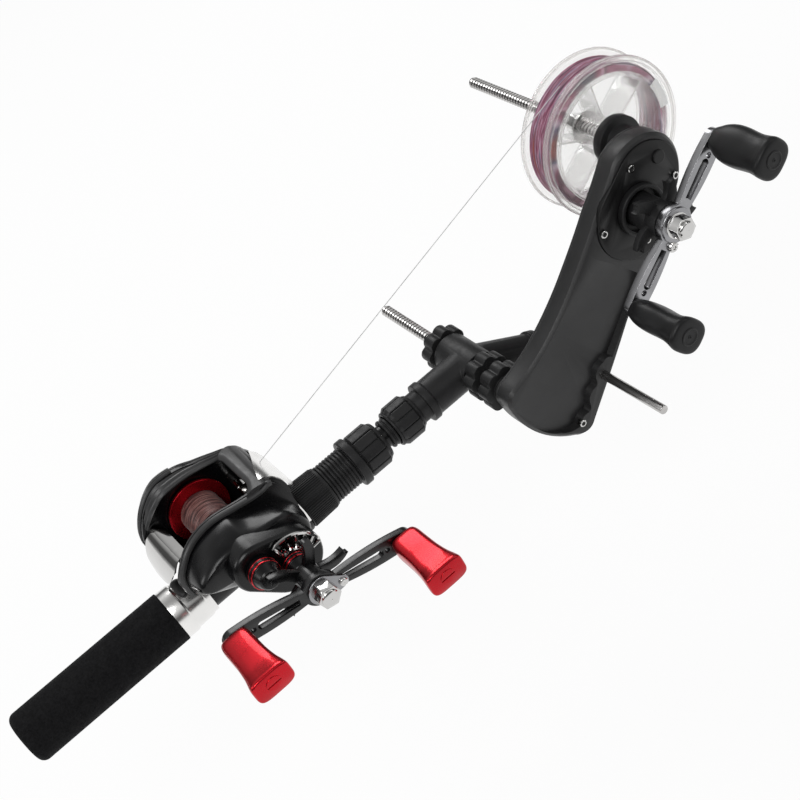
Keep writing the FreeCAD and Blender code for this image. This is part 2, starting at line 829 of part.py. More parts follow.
def make_case_front():
    body = new_body("case_front", ARM)
    bevel_start = -S.case_front_face + S.case_edge
    extrude(body, "XZ_Plane", bevel_start, -S.case_split, [case_outline])
    side_loft(body, case_outline, bevel_start, case_bevel, -S.case_front_face, "AdditiveLoft")
    floor = -S.case_front_face - S.plate_step + S.plate_thick
    extrude(body, "XZ_Plane", -(S.case_front_face + 1), floor, [plate_outline(Size(0, "0"))], cut=True)
    for along, drop, radius in gear_rooms():
        extrude(body, "XZ_Plane", floor - 1, -S.case_split, [round_at(along, drop, radius)], cut=True)
    holes = [round_at(S.pin_place, S.pin_drop, S.pin_radius)]
    extrude(body, "XZ_Plane", -(S.case_front_face + 1), -S.case_front_face + S.pin_depth, holes, cut=True)
    screw_holes = [round_at(along, drop, S.screw_radius) for along, drop in CASE_SCREWS]
    screw_floor = S.plate_thick - S.screw_proud
    extrude(body, "XZ_Plane", -(S.case_front_face + 1), -S.case_front_face + screw_floor, screw_holes, cut=True)
    seat = [round_at(0, 0, S.bolt_radius)]
    extrude(body, "XZ_Plane", -S.bolt_seat, -S.case_split, seat, cut=True)
    slope = sketch_on(body, "XZ_Plane")
    depth = S.case_front_face - S.recess_flush * sine(S.recess_slope) / cosine(S.recess_slope)
    lean = f"rotation(vector(1; 0; 0); {S.recess_slope.text})"
    slope.setExpression("AttachmentOffset", f"placement(vector(0; 0; {depth.text}); {lean})")
    recess(slope)
    scoop = body.newObject("PartDesign::Pocket", "case_front_scoop")
    scoop.Profile = slope
    scoop.Reversed = True
    scoop.setExpression("Length", S.case_front_face.text)


def make_cover_plate():
    body = new_body("cover_plate", ARM)
    front = -S.case_front_face - S.plate_step
    extrude(body, "XZ_Plane", front, front + S.plate_thick, [plate_outline(-S.body_gap / 2)])
    round_edges(body, 0.4, on_plane_y(front))
    extrude(body, "XZ_Plane", front - S.button_height, front, [round_at(S.spindle_place, 0, S.button_radius)])
    round_edges(body, 0.5, on_plane_y(front - S.button_height))
    holes = [round_at(CRANK_PLACE, S.crank_drop, S.crank_bearing)]
    holes += [round_at(along, drop, S.screw_radius) for along, drop in PLATE_SCREWS]
    extrude(body, "XZ_Plane", front - 1, front + S.plate_thick, holes, cut=True)


def make_screws():
    front = -S.case_front_face - S.plate_step
    body = doc.addObject("Part::MultiFuse", "case_screws")
    shapes = []
    for number, (along, drop) in enumerate(PLATE_SCREWS + CASE_SCREWS):
        spot = arm_spot(along, -as_size(drop))
        screw = doc.addObject("Part::Cylinder", f"screw_{number}")
        screw.setExpression("Radius", S.screw_radius.text)
        screw.setExpression("Height", S.plate_thick.text)
        start = front if number < len(PLATE_SCREWS) else -S.case_front_face - S.screw_proud
        screw.setExpression("Placement", f"placement(vector({spot[0].text}; {start.text}; {spot[1].text}); "
                            "rotation(vector(1; 0; 0); -90))")
        shapes.append(screw)
    body.Shapes = shapes
    body.Label = "case_screws"
    nodes.append(body)


def make_guide_pin():
    body = rod("guide_pin", -S.pin_end, -S.case_front_face + S.pin_depth, S.pin_radius,
               arm_spot(S.pin_place, -S.pin_drop))
    round_edges(body, 0.5, on_plane_y(-S.pin_end))


def crank_spot(tilt=0.0):
    return arm_spot(CRANK_PLACE, -S.crank_drop, tilt)


def make_gears():
    low = -(S.case_split + S.gear_start + S.gear_thick)
    high = -(S.case_split + S.gear_start)
    gear("crank_gear", S.crank_teeth, S.gear_module, CRANK_LEAN, low, high, S.crank_shaft_radius, crank_spot())
    opposite = CRANK_LEAN + 180 + Size(180, "180") / S.spindle_teeth
    gear("spindle_pinion", S.spindle_teeth, S.gear_module, opposite, low, high, S.spindle_radius,
         arm_spot(S.spindle_place))


def make_bearings():
    """Bushes of the spindle and the crank shaft in the housing."""
    tube("spindle_bearing", -S.case_split - S.gear_start + S.body_gap, -S.case_back_face,
         S.spindle_bearing, S.spindle_radius + S.running_gap, "Y", arm_spot(S.spindle_place))
    front = -S.case_front_face - S.plate_step
    tube("crank_bearing", front, front + S.plate_thick, S.crank_bearing,
         S.crank_shaft_radius + S.running_gap, "Y", crank_spot())


def make_collar():
    front = -S.case_front_face - S.plate_step
    body = tube("crank_collar", front - S.collar_height, front, S.collar_radius, S.collar_bore, "Y", crank_spot())
    round_edges(body, 0.8, on_plane_y(front - S.collar_height))


def make_crank_shaft():
    """Shaft with the black neck that stands out of the collar."""
    front = -S.case_front_face - S.plate_step
    neck_start = front - S.body_gap
    tip = -(S.crank_back + S.crank_thick + S.crank_washer + S.crank_nut_height + S.crank_tip)
    turned("crank_shaft", [
        (tip, 0), (-S.case_split - S.body_gap, 0), (-S.case_split - S.body_gap, S.crank_shaft_radius),
        (neck_start, S.crank_shaft_radius), (neck_start, S.hub_radius),
        (-S.wheel_back + S.body_gap, S.hub_radius), (-S.wheel_back + S.body_gap, S.crank_shaft_radius),
        (tip, S.crank_shaft_radius)], "Y", crank_spot())


def make_star_wheel():
    body = new_body("star_wheel", crank_spot(S.wheel_tilt))
    low, high = -S.crank_back + S.body_gap, -S.wheel_back

    def hub(sketch):
        circle(sketch, 0, 0, S.hub_radius + 0.6)

    def wing(sketch):
        half = S.wheel_wing_width / 2
        draw(sketch, [(0, -half * 1.5), (S.wheel_reach * 0.6, -half * 1.1, -0.8),
                      (S.wheel_reach, half * 1.2, half * 0.5), (S.wheel_reach * 0.86, half * 2.6, 0.8),
                      (S.wheel_reach * 0.5, half * 1.2), (0, half * 1.5)])

    def bore(sketch):
        circle(sketch, 0, 0, S.crank_shaft_radius + S.running_gap)
    extrude(body, "XZ_Plane", low, high, [hub])
    wings = extrude(body, "XZ_Plane", high - S.wheel_thick, high, [wing])
    repeat(body, wings, S.wheel_wings)
    extrude(body, "XZ_Plane", low - 1, high + 1, [bore], cut=True)


def arm_outline(reach, eye, waist, boss, bow):
    """A two-ended crank arm along X with round eyes and a round boss."""
    def shape(sketch):
        swell, quarter = -boss * 0.55, -eye * QUARTER_RISE
        draw(sketch, [
            (-reach, -eye, bow), (-boss, -waist, swell), (boss, -waist, bow), (reach, -eye, quarter),
            (reach + eye, 0, quarter), (reach, eye, bow), (boss, waist, swell), (-boss, waist, bow),
            (-reach, eye, quarter), (-reach - eye, 0, quarter)])
    return shape


def slots(inner, outer, inner_half, outer_half):
    """Tapered windows in both halves of a crank arm."""
    def window(side):
        def shape(sketch):
            corners = [(inner, -inner_half), (outer, -outer_half, -outer_half * 0.9), (outer, outer_half),
                       (inner, inner_half)]
            if side < 0:
                corners = [(-as_size(corner[0]), as_size(corner[1]) * -1) + tuple(corner[2:])
                           for corner in corners]
            draw(sketch, corners)
        return shape
    return [window(1), window(-1)]


def posts(body, reach, low, high):
    """The two pins that carry the knobs."""
    def pins(sketch):
        circle(sketch, reach, 0, S.knob_post_radius)
        circle(sketch, -reach, 0, S.knob_post_radius)
    extrude(body, "XZ_Plane", low, high, [pins])


def make_crank_arm():
    body = new_body("crank_arm", crank_spot(S.crank_tilt))
    low, high = -(S.crank_back + S.crank_thick), -S.crank_back
    outline = arm_outline(S.crank_reach, S.crank_eye, S.crank_waist, S.crank_boss, -S.crank_bow)
    extrude(body, "XZ_Plane", low, high, [outline])
    windows = slots(S.crank_boss + S.crank_window_start, S.crank_reach - S.crank_window_end,
                    S.crank_waist * 0.5, S.crank_waist * 0.62)
    extrude(body, "XZ_Plane", low - 1, high + 1, windows, cut=True)

    def small_holes(sketch):
        for side in (1, -1):
            circle(sketch, side * (S.crank_reach - S.crank_hole_place), 0, S.crank_hole_radius)
        circle(sketch, 0, 0, S.crank_shaft_radius)
    extrude(body, "XZ_Plane", low - 1, high + 1, [small_holes], cut=True)
    posts(body, S.crank_reach, low - S.knob_length + S.knob_floor, high)


def make_crank_nut():
    body = new_body("crank_nut", crank_spot(S.crank_nut_tilt))
    high = -(S.crank_back + S.crank_thick)

    def washer(sketch):
        circle(sketch, 0, 0, S.crank_nut_flats * 0.62)

    def hexagon(sketch):
        polygon(sketch, 6, S.crank_nut_flats)

    def bore(sketch):
        circle(sketch, 0, 0, S.crank_shaft_radius)
    seat = high - S.crank_washer
    extrude(body, "XZ_Plane", seat, high, [washer])
    extrude(body, "XZ_Plane", seat - S.crank_nut_height, seat, [hexagon])
    extrude(body, "XZ_Plane", seat - S.crank_nut_height - 1, high + 1, [bore], cut=True)


def knob_spot(hub, reach, tilt, turn=0.0):
    """The axis of a knob at a signed reach from a crank's axis."""
    east, up, lean = hub
    angle = lean + tilt
    return (east + reach * cosine(angle), up + reach * sine(angle), angle + as_size(turn))


def cut_cheeks(body, side, reach):
    """Flatten a turned knob on two sides; side runs along the axis as (place, half thickness)."""
    for way in (1, -1):
        sketch = sketch_on(body, "YZ_Plane", -as_size(reach))
        corners = [(place, way * half) for place, half in side]
        draw(sketch, corners + [(side[-1][0], way * reach), (side[0][0], way * reach)])
        cut = body.newObject("PartDesign::Pocket", body.Name + "_cheek")
        cut.Profile = sketch
        cut.Reversed = True
        cut.setExpression("Length", (2 * as_size(reach)).text)
        sketch.Visibility = False


def make_crank_knob(label, reach, turn):
    """A hand-filling knob: narrow at its neck, full in the middle, flared at its end."""
    top = -(S.crank_back + S.crank_thick + S.body_gap)
    end = top - S.knob_length
    bore = S.knob_post_radius + S.running_gap
    body = turned(label, [
        (end, 0), (end, S.knob_rim - 2.6), (end + 2.2, S.knob_rim, -0.6), (top - 26, S.knob_belly - 0.6, 0.2),
        (top - 14, S.knob_belly, 0.6), (top - 5, S.knob_neck + 1.6, 0.5), (top, S.knob_neck), (top, bore),
        (end + S.knob_floor, bore), (end + S.knob_floor, 0)], "Y",
        knob_spot(crank_spot(), reach, S.crank_tilt, turn))
    half = S.knob_half_thick
    cut_cheeks(body, [(top + 1, half - 1.2), (end + 7, half), (end - 1, half + 1.6)], S.knob_rim + 4)


def make_spindle():
    rod("spindle_rod", -S.case_split - S.gear_start - S.gear_thick, S.spindle_end, S.spindle_radius,
        arm_spot(S.spindle_place))
    inner = S.spindle_radius
    nose = S.spool_bore - S.running_gap
    back, ring, face = -S.case_back_face + S.body_gap, -S.flange_ring_start, -S.flange_face
    turned("spindle_flange", [
        (back, inner), (face + S.flange_nose, inner), (face + S.flange_nose, nose - 0.8), (face + 1, nose),
        (face, nose), (face, S.flange_ring_radius - 0.8), (face - 0.8, S.flange_ring_radius),
        (ring, S.flange_ring_radius), (ring, S.flange_neck), (back, S.flange_neck)], "Y", arm_spot(S.spindle_place))


DRUM_RADIUS = S.spool_radius - S.drum_depth
WINDING_RADIUS = S.spool_radius - S.winding_depth


def make_line_spool():
    """Clear spool: two flanges with thick rims, a drum, a web at the far side and a hub on ribs."""
    near, far = -S.spool_near, S.spool_far
    flange, rim = S.spool_flange_thick, S.spool_flange_thick + 0.7
    edge = S.spool_radius - 2.2
    drum, inside = DRUM_RADIUS, DRUM_RADIUS - S.spool_drum_wall
    hub = S.spool_bore + S.spool_hub_wall
    body = turned("line_spool", [
        (near, inside), (near, S.spool_radius - 0.7), (near + 0.7, S.spool_radius),
        (near + rim - 0.6, S.spool_radius), (near + rim, S.spool_radius - 0.6), (near + rim, edge),
        (near + flange, edge - 0.8), (near + flange, drum), (far - flange, drum),
        (far - flange, edge - 0.8), (far - rim, edge), (far - rim, S.spool_radius - 0.6),
        (far - rim + 0.6, S.spool_radius), (far - 0.7, S.spool_radius), (far, S.spool_radius - 0.7),
        (far, S.spool_bore), (-S.flange_face, S.spool_bore), (-S.flange_face, hub),
        (far - flange, hub), (far - flange, inside)], "Y", arm_spot(S.spindle_place))

    def rib(sketch):
        half = S.spool_rib_thick / 2
        start, end = hub - S.spool_hub_wall / 2, inside + S.spool_drum_wall / 2
        draw(sketch, [(start, -half), (end, -half), (end, half), (start, half)])
    ribs = extrude(body, "XZ_Plane", near + S.spool_flange_thick, far - flange, [rib])
    repeat(body, ribs, S.spool_ribs)


def make_winding():
    """The line on the spool, a little crowned."""
    near, far = -S.spool_near + S.spool_flange_thick, S.spool_far - S.spool_flange_thick
    edge = WINDING_RADIUS - S.winding_crown
    turned("line_winding", [
        (near, DRUM_RADIUS), (far, DRUM_RADIUS), (far, edge, S.winding_crown), (near, edge)],
        "Y", arm_spot(S.spindle_place))


def make_spool_nut():
    body = new_body("spool_nut", arm_spot(S.spindle_place))
    low = S.spool_far

    def hexagon(sketch):
        polygon(sketch, 6, S.spool_nut_flats)

    def washer(sketch):
        circle(sketch, 0, 0, S.spool_bore + S.spool_hub_wall)

    def bore(sketch):
        circle(sketch, 0, 0, S.spindle_radius + S.running_gap)
    seat = low + S.spool_washer
    extrude(body, "XZ_Plane", low + S.running_gap, seat, [washer])
    extrude(body, "XZ_Plane", seat, seat + S.spool_nut_height, [hexagon])
    extrude(body, "XZ_Plane", low - 1, seat + S.spool_nut_height + 1, [bore], cut=True)


def make_crank_knobs():
    make_crank_knob("crank_knob_a", S.crank_reach, 0.0)
    make_crank_knob("crank_knob_b", -S.crank_reach, 90.0)


# ---------------------------------------------------------------- casting reel

# The spool turns just over the floor of the frame, which stands on the foot
FLOOR = S.seat_floor + S.foot_thick
RISE = S.reel_spool_radius + S.reel_room + S.reel_floor_thick
REEL_HEIGHT = FLOOR + RISE
GUIDE_HEIGHT = REEL_HEIGHT + S.guide_rise
REEL_AXIS = (S.reel_place, REEL_HEIGHT)
DRIVE_AXIS = (S.drive_place, REEL_HEIGHT - S.drive_drop)


def make_foot():
    body = new_body("reel_foot")
    half_tab, half = S.foot_tab_width / 2, S.foot_width / 2
    shoulder_start = S.rear_hood_end + 1.5
    shoulder_end = S.front_hood_start - 1.0

    def plan(sketch):
        draw(sketch, [
            (S.foot_start, -half_tab), (shoulder_start, -half_tab), (shoulder_start + S.foot_shoulder, -half),
            (shoulder_end - S.foot_shoulder, -half), (shoulder_end, -half_tab), (S.foot_end, -half_tab),
            (S.foot_end, half_tab), (shoulder_end, half_tab), (shoulder_end - S.foot_shoulder, half),
            (shoulder_start + S.foot_shoulder, half), (shoulder_start, half_tab), (S.foot_start, half_tab)])
    extrude(body, "XY_Plane", S.seat_floor, FLOOR, [plan])


# Outlines seen along Y, from the spool's axis: (x, z, bulge of the side to the next corner)
PALM = [(-22.0, -RISE), (30.0, -RISE, -1.8), (35.2, -5.0, -1.6), (27.2, 8.8, -1.2), (4.0, 24.0, -1.0),
        (-11.0, 24.6, -2.2), (-28.0, 7.0, -0.8), (-28.6, -2.0, -1.0)]
GEAR_SIDE = [(-10.0, -RISE), (2.0, -RISE), (28.0, -RISE, -1.5), (33.8, -8.0, -0.8), (31.8, 8.0, -0.6),
             (27.4, 13.8, 2.2), (4.0, 16.2, -1.4), (-15.0, 13.4, -1.0), (-27.8, 1.5, -0.3), (-28.4, -9.0, -0.8)]
GEAR_END = [(-13.5, -3.6), (-3.0, -13.0), (24.0, -16.6, -1.2), (31.4, -8.0, -0.6), (29.8, 6.0, -0.8),
            (25.5, 10.0, 0.5), (-2.0, 11.8, -1.0), (-16.0, 10.0, -0.8), (-25.0, 5.5, -0.6), (-26.2, 0.5, -0.6)]
NOSE_LOW, NOSE_FRONT, NOSE_TOP = (29.0, -13.4), (34.5, -2.0), (33.0, 9.5)
NOSE_BULGE = 1.2
THUMB_BAR = [(-21.0, 9.5, 0.5), (-19.2, 8.0, 1.6), (-27.5, -8.0), (-33.0, -8.6, -0.5), (-34.0, -6.5, -3.4)]


def side_outline(corners, inset=None):
    """An outline of the reel about the spool's axis, drawn in towards it by the inset."""
    def shape(sketch):
        placed = []
        for east, up, *bulge in corners:
            east, up = as_size(east), as_size(up)
            if inset is not None:
                share = 1 - inset / root(east * east + up * up)
                east, up = east * share, up * share
            placed.append((S.reel_place + east, REEL_HEIGHT + up, *bulge))
        draw(sketch, placed)
    return shape


def make_reel_frame():
    """Two side plates joined by the floor, the nose and the bar over the front of the spool."""
    body = new_body("reel_frame")
    room = S.reel_spool_radius + S.reel_room
    extrude(body, "XZ_Plane", S.reel_palm_inside, S.reel_palm_outside, [side_outline(PALM)])
    extrude(body, "XZ_Plane", -S.reel_gear_outside, -S.reel_gear_inside, [side_outline(GEAR_SIDE)])
    bridge = side_outline([
        (-20.0, -RISE), (21.5, -RISE), (23.0, -13.7), NOSE_LOW + (-NOSE_BULGE,), NOSE_FRONT + (-1.5,),
        NOSE_TOP + (-0.3,), (31.0, 12.0, -0.4), (24.0, 15.0), (21.0, 14.6), (21.6, 12.8, 0.5), (27.0, 10.9),
        (28.5, -3.0, 1.2),
        (24.0, -10.4), (room * 0.6, room * -0.8, room * 0.2), (room * -0.6, room * -0.8), (-23.0, -10.1)])
    extrude(body, "XZ_Plane", -S.reel_gear_inside, S.reel_palm_inside, [bridge])

    def line_door(sketch):
        half = S.reel_palm_inside - 3
        low, high = REEL_HEIGHT + 3.4, REEL_HEIGHT + 10.4
        draw(sketch, [(-half, low), (half, low), (half, high), (-half, high)])
    extrude(body, "YZ_Plane", S.reel_place + 27, S.reel_place + 40, [line_door], cut=True)

    def shaft_holes(sketch):
        circle(sketch, *REEL_AXIS, S.bearing_radius)
    extrude(body, "XZ_Plane", -(S.reel_gear_outside + 1), S.reel_palm_outside + 1, [shaft_holes], cut=True)

    def worm_holes(sketch):
        circle(sketch, S.guide_place, GUIDE_HEIGHT - S.guide_drop, S.worm_radius + S.running_gap)
    extrude(body, "XZ_Plane", -S.reel_gear_inside - S.worm_seat, S.reel_palm_inside + S.worm_seat,
            [worm_holes], cut=True)

    def drive_hole(sketch):
        circle(sketch, *DRIVE_AXIS, S.drive_shaft_radius + S.running_gap)
    extrude(body, "XZ_Plane", -(S.reel_gear_outside + 1), -S.reel_gear_inside, [drive_hole], cut=True)


def make_palm_cover():
    """A domed cover in two steps."""
    body = new_body("palm_cover")
    middle = (S.reel_palm_outside + S.reel_palm_dome) / 2
    extrude(body, "XZ_Plane", S.reel_palm_outside, middle, [side_outline(PALM, S.palm_step)])
    extrude(body, "XZ_Plane", middle, S.reel_palm_dome, [side_outline(PALM, S.palm_inset)])


def lobes(sketch):
    """The bulges of the gear side over the drive gear and the spool's end."""
    big, small = S.drive_bulge, S.spool_bulge
    dx, dz = S.drive_place - S.reel_place, S.drive_drop
    span = root(dx * dx + dz * dz)
    lean = arctangent(dz, dx)
    open_angle = arccosine((big - small) / span)

    def spot(middle, radius, angle):
        return (middle[0] + radius * cosine(angle), middle[1] + radius * sine(angle))
    first = spot(DRIVE_AXIS, big, 180 - lean + open_angle)
    opposite = spot(DRIVE_AXIS, big, -lean)
    second = spot(DRIVE_AXIS, big, 180 - lean - open_angle)
    third = spot(REEL_AXIS, small, 180 - lean - open_angle)
    fourth = spot(REEL_AXIS, small, 180 - lean + open_angle)
    big_rise = big * (1 - cosine((180 - open_angle) / 2))
    small_rise = small * (1 - cosine(open_angle))
    draw(sketch, [first + (-big_rise,), opposite + (-big_rise,), second, third + (-small_rise,), fourth])


def make_gear_cover():
    """A hollow cover that narrows outward, with round lobes over the gears."""
    body = new_body("gear_cover")
    wall = S.reel_cover_wall
    side_loft(body, side_outline(GEAR_SIDE), -S.reel_gear_outside, side_outline(GEAR_END), -S.reel_cover_step,
              "AdditiveLoft")
    extrude(body, "XZ_Plane", -S.reel_cover_face, -S.reel_lobe_start, [lobes])
    side_loft(body, side_outline(GEAR_SIDE, wall), -S.reel_gear_outside, side_outline(GEAR_END, wall),
              -S.reel_cover_step + wall, "SubtractiveLoft")

    def gear_room(sketch):
        circle(sketch, *DRIVE_AXIS, S.drive_bulge - wall)

    def pinion_room(sketch):
        circle(sketch, *REEL_AXIS, S.spool_bulge - wall)
    inner = -S.reel_cover_face + wall
    extrude(body, "XZ_Plane", inner, -S.reel_lobe_start - wall, [gear_room], cut=True)
    extrude(body, "XZ_Plane", inner, -S.reel_lobe_start - wall, [pinion_room], cut=True)

    def shafts(sketch):
        circle(sketch, *DRIVE_AXIS, S.drive_shaft_radius + S.running_gap)
        circle(sketch, *REEL_AXIS, S.reel_shaft_radius + S.running_gap)
    extrude(body, "XZ_Plane", -(S.reel_cover_face + 1), -S.reel_gear_outside, [shafts], cut=True)


def make_nose_trim():
    body = new_body("nose_trim")
    trim = side_outline([NOSE_FRONT + (NOSE_BULGE,), NOSE_LOW, (35.0, -13.0, -1.5), (38.6, -5.0, -1.2),
                         (37.0, 3.5)])
    half = S.reel_palm_inside - 4
    extrude(body, "XZ_Plane", -half, half, [trim])


def make_thumb_bar():
    body = new_body("thumb_bar")
    extrude(body, "XZ_Plane", -S.reel_gear_inside + S.body_gap, S.reel_palm_inside - S.body_gap,
            [side_outline(THUMB_BAR)])


def make_reel_spool():
    """Spool with its shaft, which runs from the palm side to the tension knob."""
    low, high = -S.reel_spool_half, S.reel_spool_half
    shaft_end = -S.reel_cover_face + S.body_gap
    turned("reel_spool", [
        (shaft_end, 0), (S.reel_palm_outside, 0), (S.reel_palm_outside, S.reel_shaft_radius),
        (high, S.reel_shaft_radius), (high, S.reel_spool_radius),
        (high - S.reel_flange_thick, S.reel_spool_radius), (high - S.reel_flange_thick, S.reel_spool_core),
        (low + S.reel_flange_thick, S.reel_spool_core),
        (low + S.reel_flange_thick, S.reel_spool_radius), (low, S.reel_spool_radius),
        (low, S.reel_shaft_radius), (shaft_end, S.reel_shaft_radius)], "Y", REEL_AXIS)


def make_reel_line():
    half = S.reel_spool_half - S.reel_flange_thick
    turned("reel_spool_line", [
        (-half, S.reel_spool_core), (half, S.reel_spool_core), (half, S.reel_line_radius - 0.8, 0.8),
        (-half, S.reel_line_radius - 0.8)], "Y", REEL_AXIS)


def make_reel_gears():
    low, high = -S.reel_gears_start - S.reel_gears_thick, -S.reel_gears_start
    dx, dz = S.drive_place - S.reel_place, S.drive_drop
    lean = 180 - arctangent(dz, dx)
    gear("reel_drive_gear", S.reel_gear_teeth, S.reel_module, lean, low, high, S.drive_shaft_radius, DRIVE_AXIS)
    opposite = lean + 180 + Size(180, "180") / S.reel_pinion_teeth
    gear("reel_pinion", S.reel_pinion_teeth, S.reel_module, opposite, low, high, S.reel_shaft_radius, REEL_AXIS)


def make_reel_bearings():
    """Two bearings of the spool shaft, in the side plates."""
    bore = S.reel_shaft_radius + S.running_gap
    body = tube("reel_bearings", S.reel_palm_inside, S.reel_palm_outside, S.bearing_radius, bore, "Y", REEL_AXIS)
    low = -S.reel_gear_inside - S.bearing_thick
    revolve(body, [(low, bore), (-S.reel_gear_inside, bore), (-S.reel_gear_inside, S.bearing_radius),
                   (low, S.bearing_radius)], "Y")


def make_worm():
    rod("level_wind_worm", -S.reel_gear_inside - S.worm_seat, S.reel_palm_inside + S.worm_seat, S.worm_radius,
        (S.guide_place, GUIDE_HEIGHT - S.guide_drop))


def make_level_wind():
    body = new_body("level_wind_guide")
    low, high = GUIDE_HEIGHT - 2 * S.guide_drop + 0.7, GUIDE_HEIGHT + 2.6

    def block(sketch):
        draw(sketch, [(S.guide_place - 3.0, low, 1.2), (S.guide_place + 3.0, low),
                      (S.guide_place + 2.0, high, 0.8), (S.guide_place - 2.0, high)])

    def worm_hole(sketch):
        circle(sketch, S.guide_place, GUIDE_HEIGHT - S.guide_drop, S.worm_radius + S.running_gap)

    def line_hole(sketch):
        circle(sketch, 0, GUIDE_HEIGHT, 0.9)
    extrude(body, "XZ_Plane", -S.guide_half, S.guide_half, [block])
    extrude(body, "XZ_Plane", -S.guide_half - 1, S.guide_half + 1, [worm_hole], cut=True)
    extrude(body, "YZ_Plane", S.guide_place - 5, S.guide_place + 5, [line_hole], cut=True)


def make_drive_shaft():
    rod("reel_drive_shaft", -S.handle_back - S.handle_thick - S.handle_nut_height,
        -S.reel_gear_inside - S.body_gap, S.drive_shaft_radius, DRIVE_AXIS)


def barrel(label, face, radius, nose, height, bore, spot):
    """A short barrel that stands on a face, with a groove for its ring and a rounded nose."""
    end, ring = face - height, face - height * 0.4
    turned(label, [
        (end, bore), (end, nose - 0.8), (end + 0.8, nose), (ring - 1.6, radius - 0.6), (ring - 1.6, radius - 0.3),
        (ring, radius - 0.3), (ring, radius), (face, radius), (face, bore)], "Y", spot)


def make_tension_knob():
    barrel("tension_knob", -S.reel_cover_face - S.body_gap, S.tension_radius, S.tension_nose,
           S.tension_height, Size(0, "0"), REEL_AXIS)


def make_shaft_cap():
    barrel("shaft_cap", -S.reel_cover_face, S.cap_radius, S.cap_nose, S.cap_height,
           S.drive_shaft_radius + S.body_gap, DRIVE_AXIS)


def make_reel_drag():
    body = new_body("reel_star_drag", DRIVE_AXIS + (S.drag_tilt,))
    high = -S.drag_back

    def hub(sketch):
        circle(sketch, 0, 0, S.drag_hub)

    def wing(sketch):
        half = S.drag_wing_width / 2
        draw(sketch, [(0, -half * 1.4), (S.drag_reach * 0.65, -half, -0.6),
                      (S.drag_reach, half * 0.6, half * 0.4), (S.drag_reach * 0.9, half * 1.9, 0.6),
                      (S.drag_reach * 0.5, half), (0, half * 1.4)])

    def bore(sketch):
        circle(sketch, 0, 0, S.drive_shaft_radius + S.running_gap)
    extrude(body, "XZ_Plane", -S.handle_back + S.body_gap, high, [hub])
    wings = extrude(body, "XZ_Plane", high - S.drag_thick, high, [wing])
    repeat(body, wings, S.drag_wings)
    extrude(body, "XZ_Plane", -S.handle_back, high + 1, [bore], cut=True)


def make_reel_handle():
    body = new_body("reel_handle_arm", DRIVE_AXIS + (-S.handle_tilt,))
    low, high = -(S.handle_back + S.handle_thick), -S.handle_back
    outline = arm_outline(S.handle_reach, S.handle_eye, S.handle_waist, S.handle_boss, -S.handle_bow)
    extrude(body, "XZ_Plane", low, high, [outline])
    windows = slots(S.handle_boss + S.handle_window_start, S.handle_reach - S.handle_window_end,
                    S.handle_waist * 0.45, S.handle_waist * 0.6)
    extrude(body, "XZ_Plane", low - 1, high + 1, windows, cut=True)

    def small_holes(sketch):
        for side in (1, -1):
            circle(sketch, side * (S.handle_reach - S.handle_hole_place), 0, S.handle_hole_radius)
        circle(sketch, 0, 0, S.drive_shaft_radius)
    extrude(body, "XZ_Plane", low - 1, high + 1, [small_holes], cut=True)
    posts(body, S.handle_reach, low - S.red_knob_length + S.knob_floor, high)


def make_handle_nut():
    body = new_body("reel_handle_nut", DRIVE_AXIS + (-S.handle_tilt,))
    high = -(S.handle_back + S.handle_thick)

    def hexagon(sketch):
        polygon(sketch, 6, S.handle_nut_flats)

    def bore(sketch):
        circle(sketch, 0, 0, S.drive_shaft_radius)
    extrude(body, "XZ_Plane", high - S.handle_nut_height, high, [hexagon])
    extrude(body, "XZ_Plane", high - S.handle_nut_height - 1, high + 1, [bore], cut=True)


def make_red_knob(label, reach):
    """A paddle: round at its foot, waisted, then wide and flat at its end."""
    top = -(S.handle_back + S.handle_thick + S.body_gap)
    end = top - S.red_knob_length
    bore = S.knob_post_radius + S.running_gap
    hub = DRIVE_AXIS + (Size(0, "0"),)
    body = turned(label, [
        (end, 0), (end, S.red_knob_end - 1.2), (end + 1.2, S.red_knob_end, 1.2), (top - 15, S.red_knob_waist, 0.2),
        (top, S.red_knob_base), (top, bore), (end + S.knob_floor, bore), (end + S.knob_floor, 0)], "Y",
        knob_spot(hub, reach, -S.handle_tilt))
    half = S.red_knob_half_thick
    cut_cheeks(body, [(top + 1, S.red_knob_base), (top - 12, half + 0.4), (end - 1, half)], S.red_knob_end + 4)


def make_red_knobs():
    make_red_knob("reel_knob_a", S.handle_reach)
    make_red_knob("reel_knob_b", -S.handle_reach)


def make_ornament():
    """Fan-shaped trim over the front of the gear side."""
    body = new_body("side_ornament", DRIVE_AXIS)
    inner, outer = S.ornament_inner, S.ornament_outer

    def at(radius, angle):
        return (radius * cosine(angle), radius * sine(angle))
    rise = 1 - cosine(S.ornament_spread / 2)
    start, end = S.ornament_start, S.ornament_start + S.ornament_spread

    def fan(sketch):
        draw(sketch, [at(inner, start), at(outer, start) + (-(outer * rise),), at(outer, end),
                      at(inner, end) + (inner * rise,)])
    extrude(body, "XZ_Plane", -S.reel_cover_face - S.ornament_thick, -S.reel_cover_face, [fan])


# ---------------------------------------------------------------- line from the reel to the spool

def straight_line(label, start, end):
    """A thin straight piece of the line between two points."""
    piece = doc.addObject("Part::Cylinder", label)
    piece.Label = label
    reach = end - start
    piece.setExpression("Radius", S.line_radius.text)
    piece.Height = reach.Length
    piece.Placement = FreeCAD.Placement(start, FreeCAD.Rotation(FreeCAD.Vector(0, 0, 1), reach))
    nodes.append(piece)


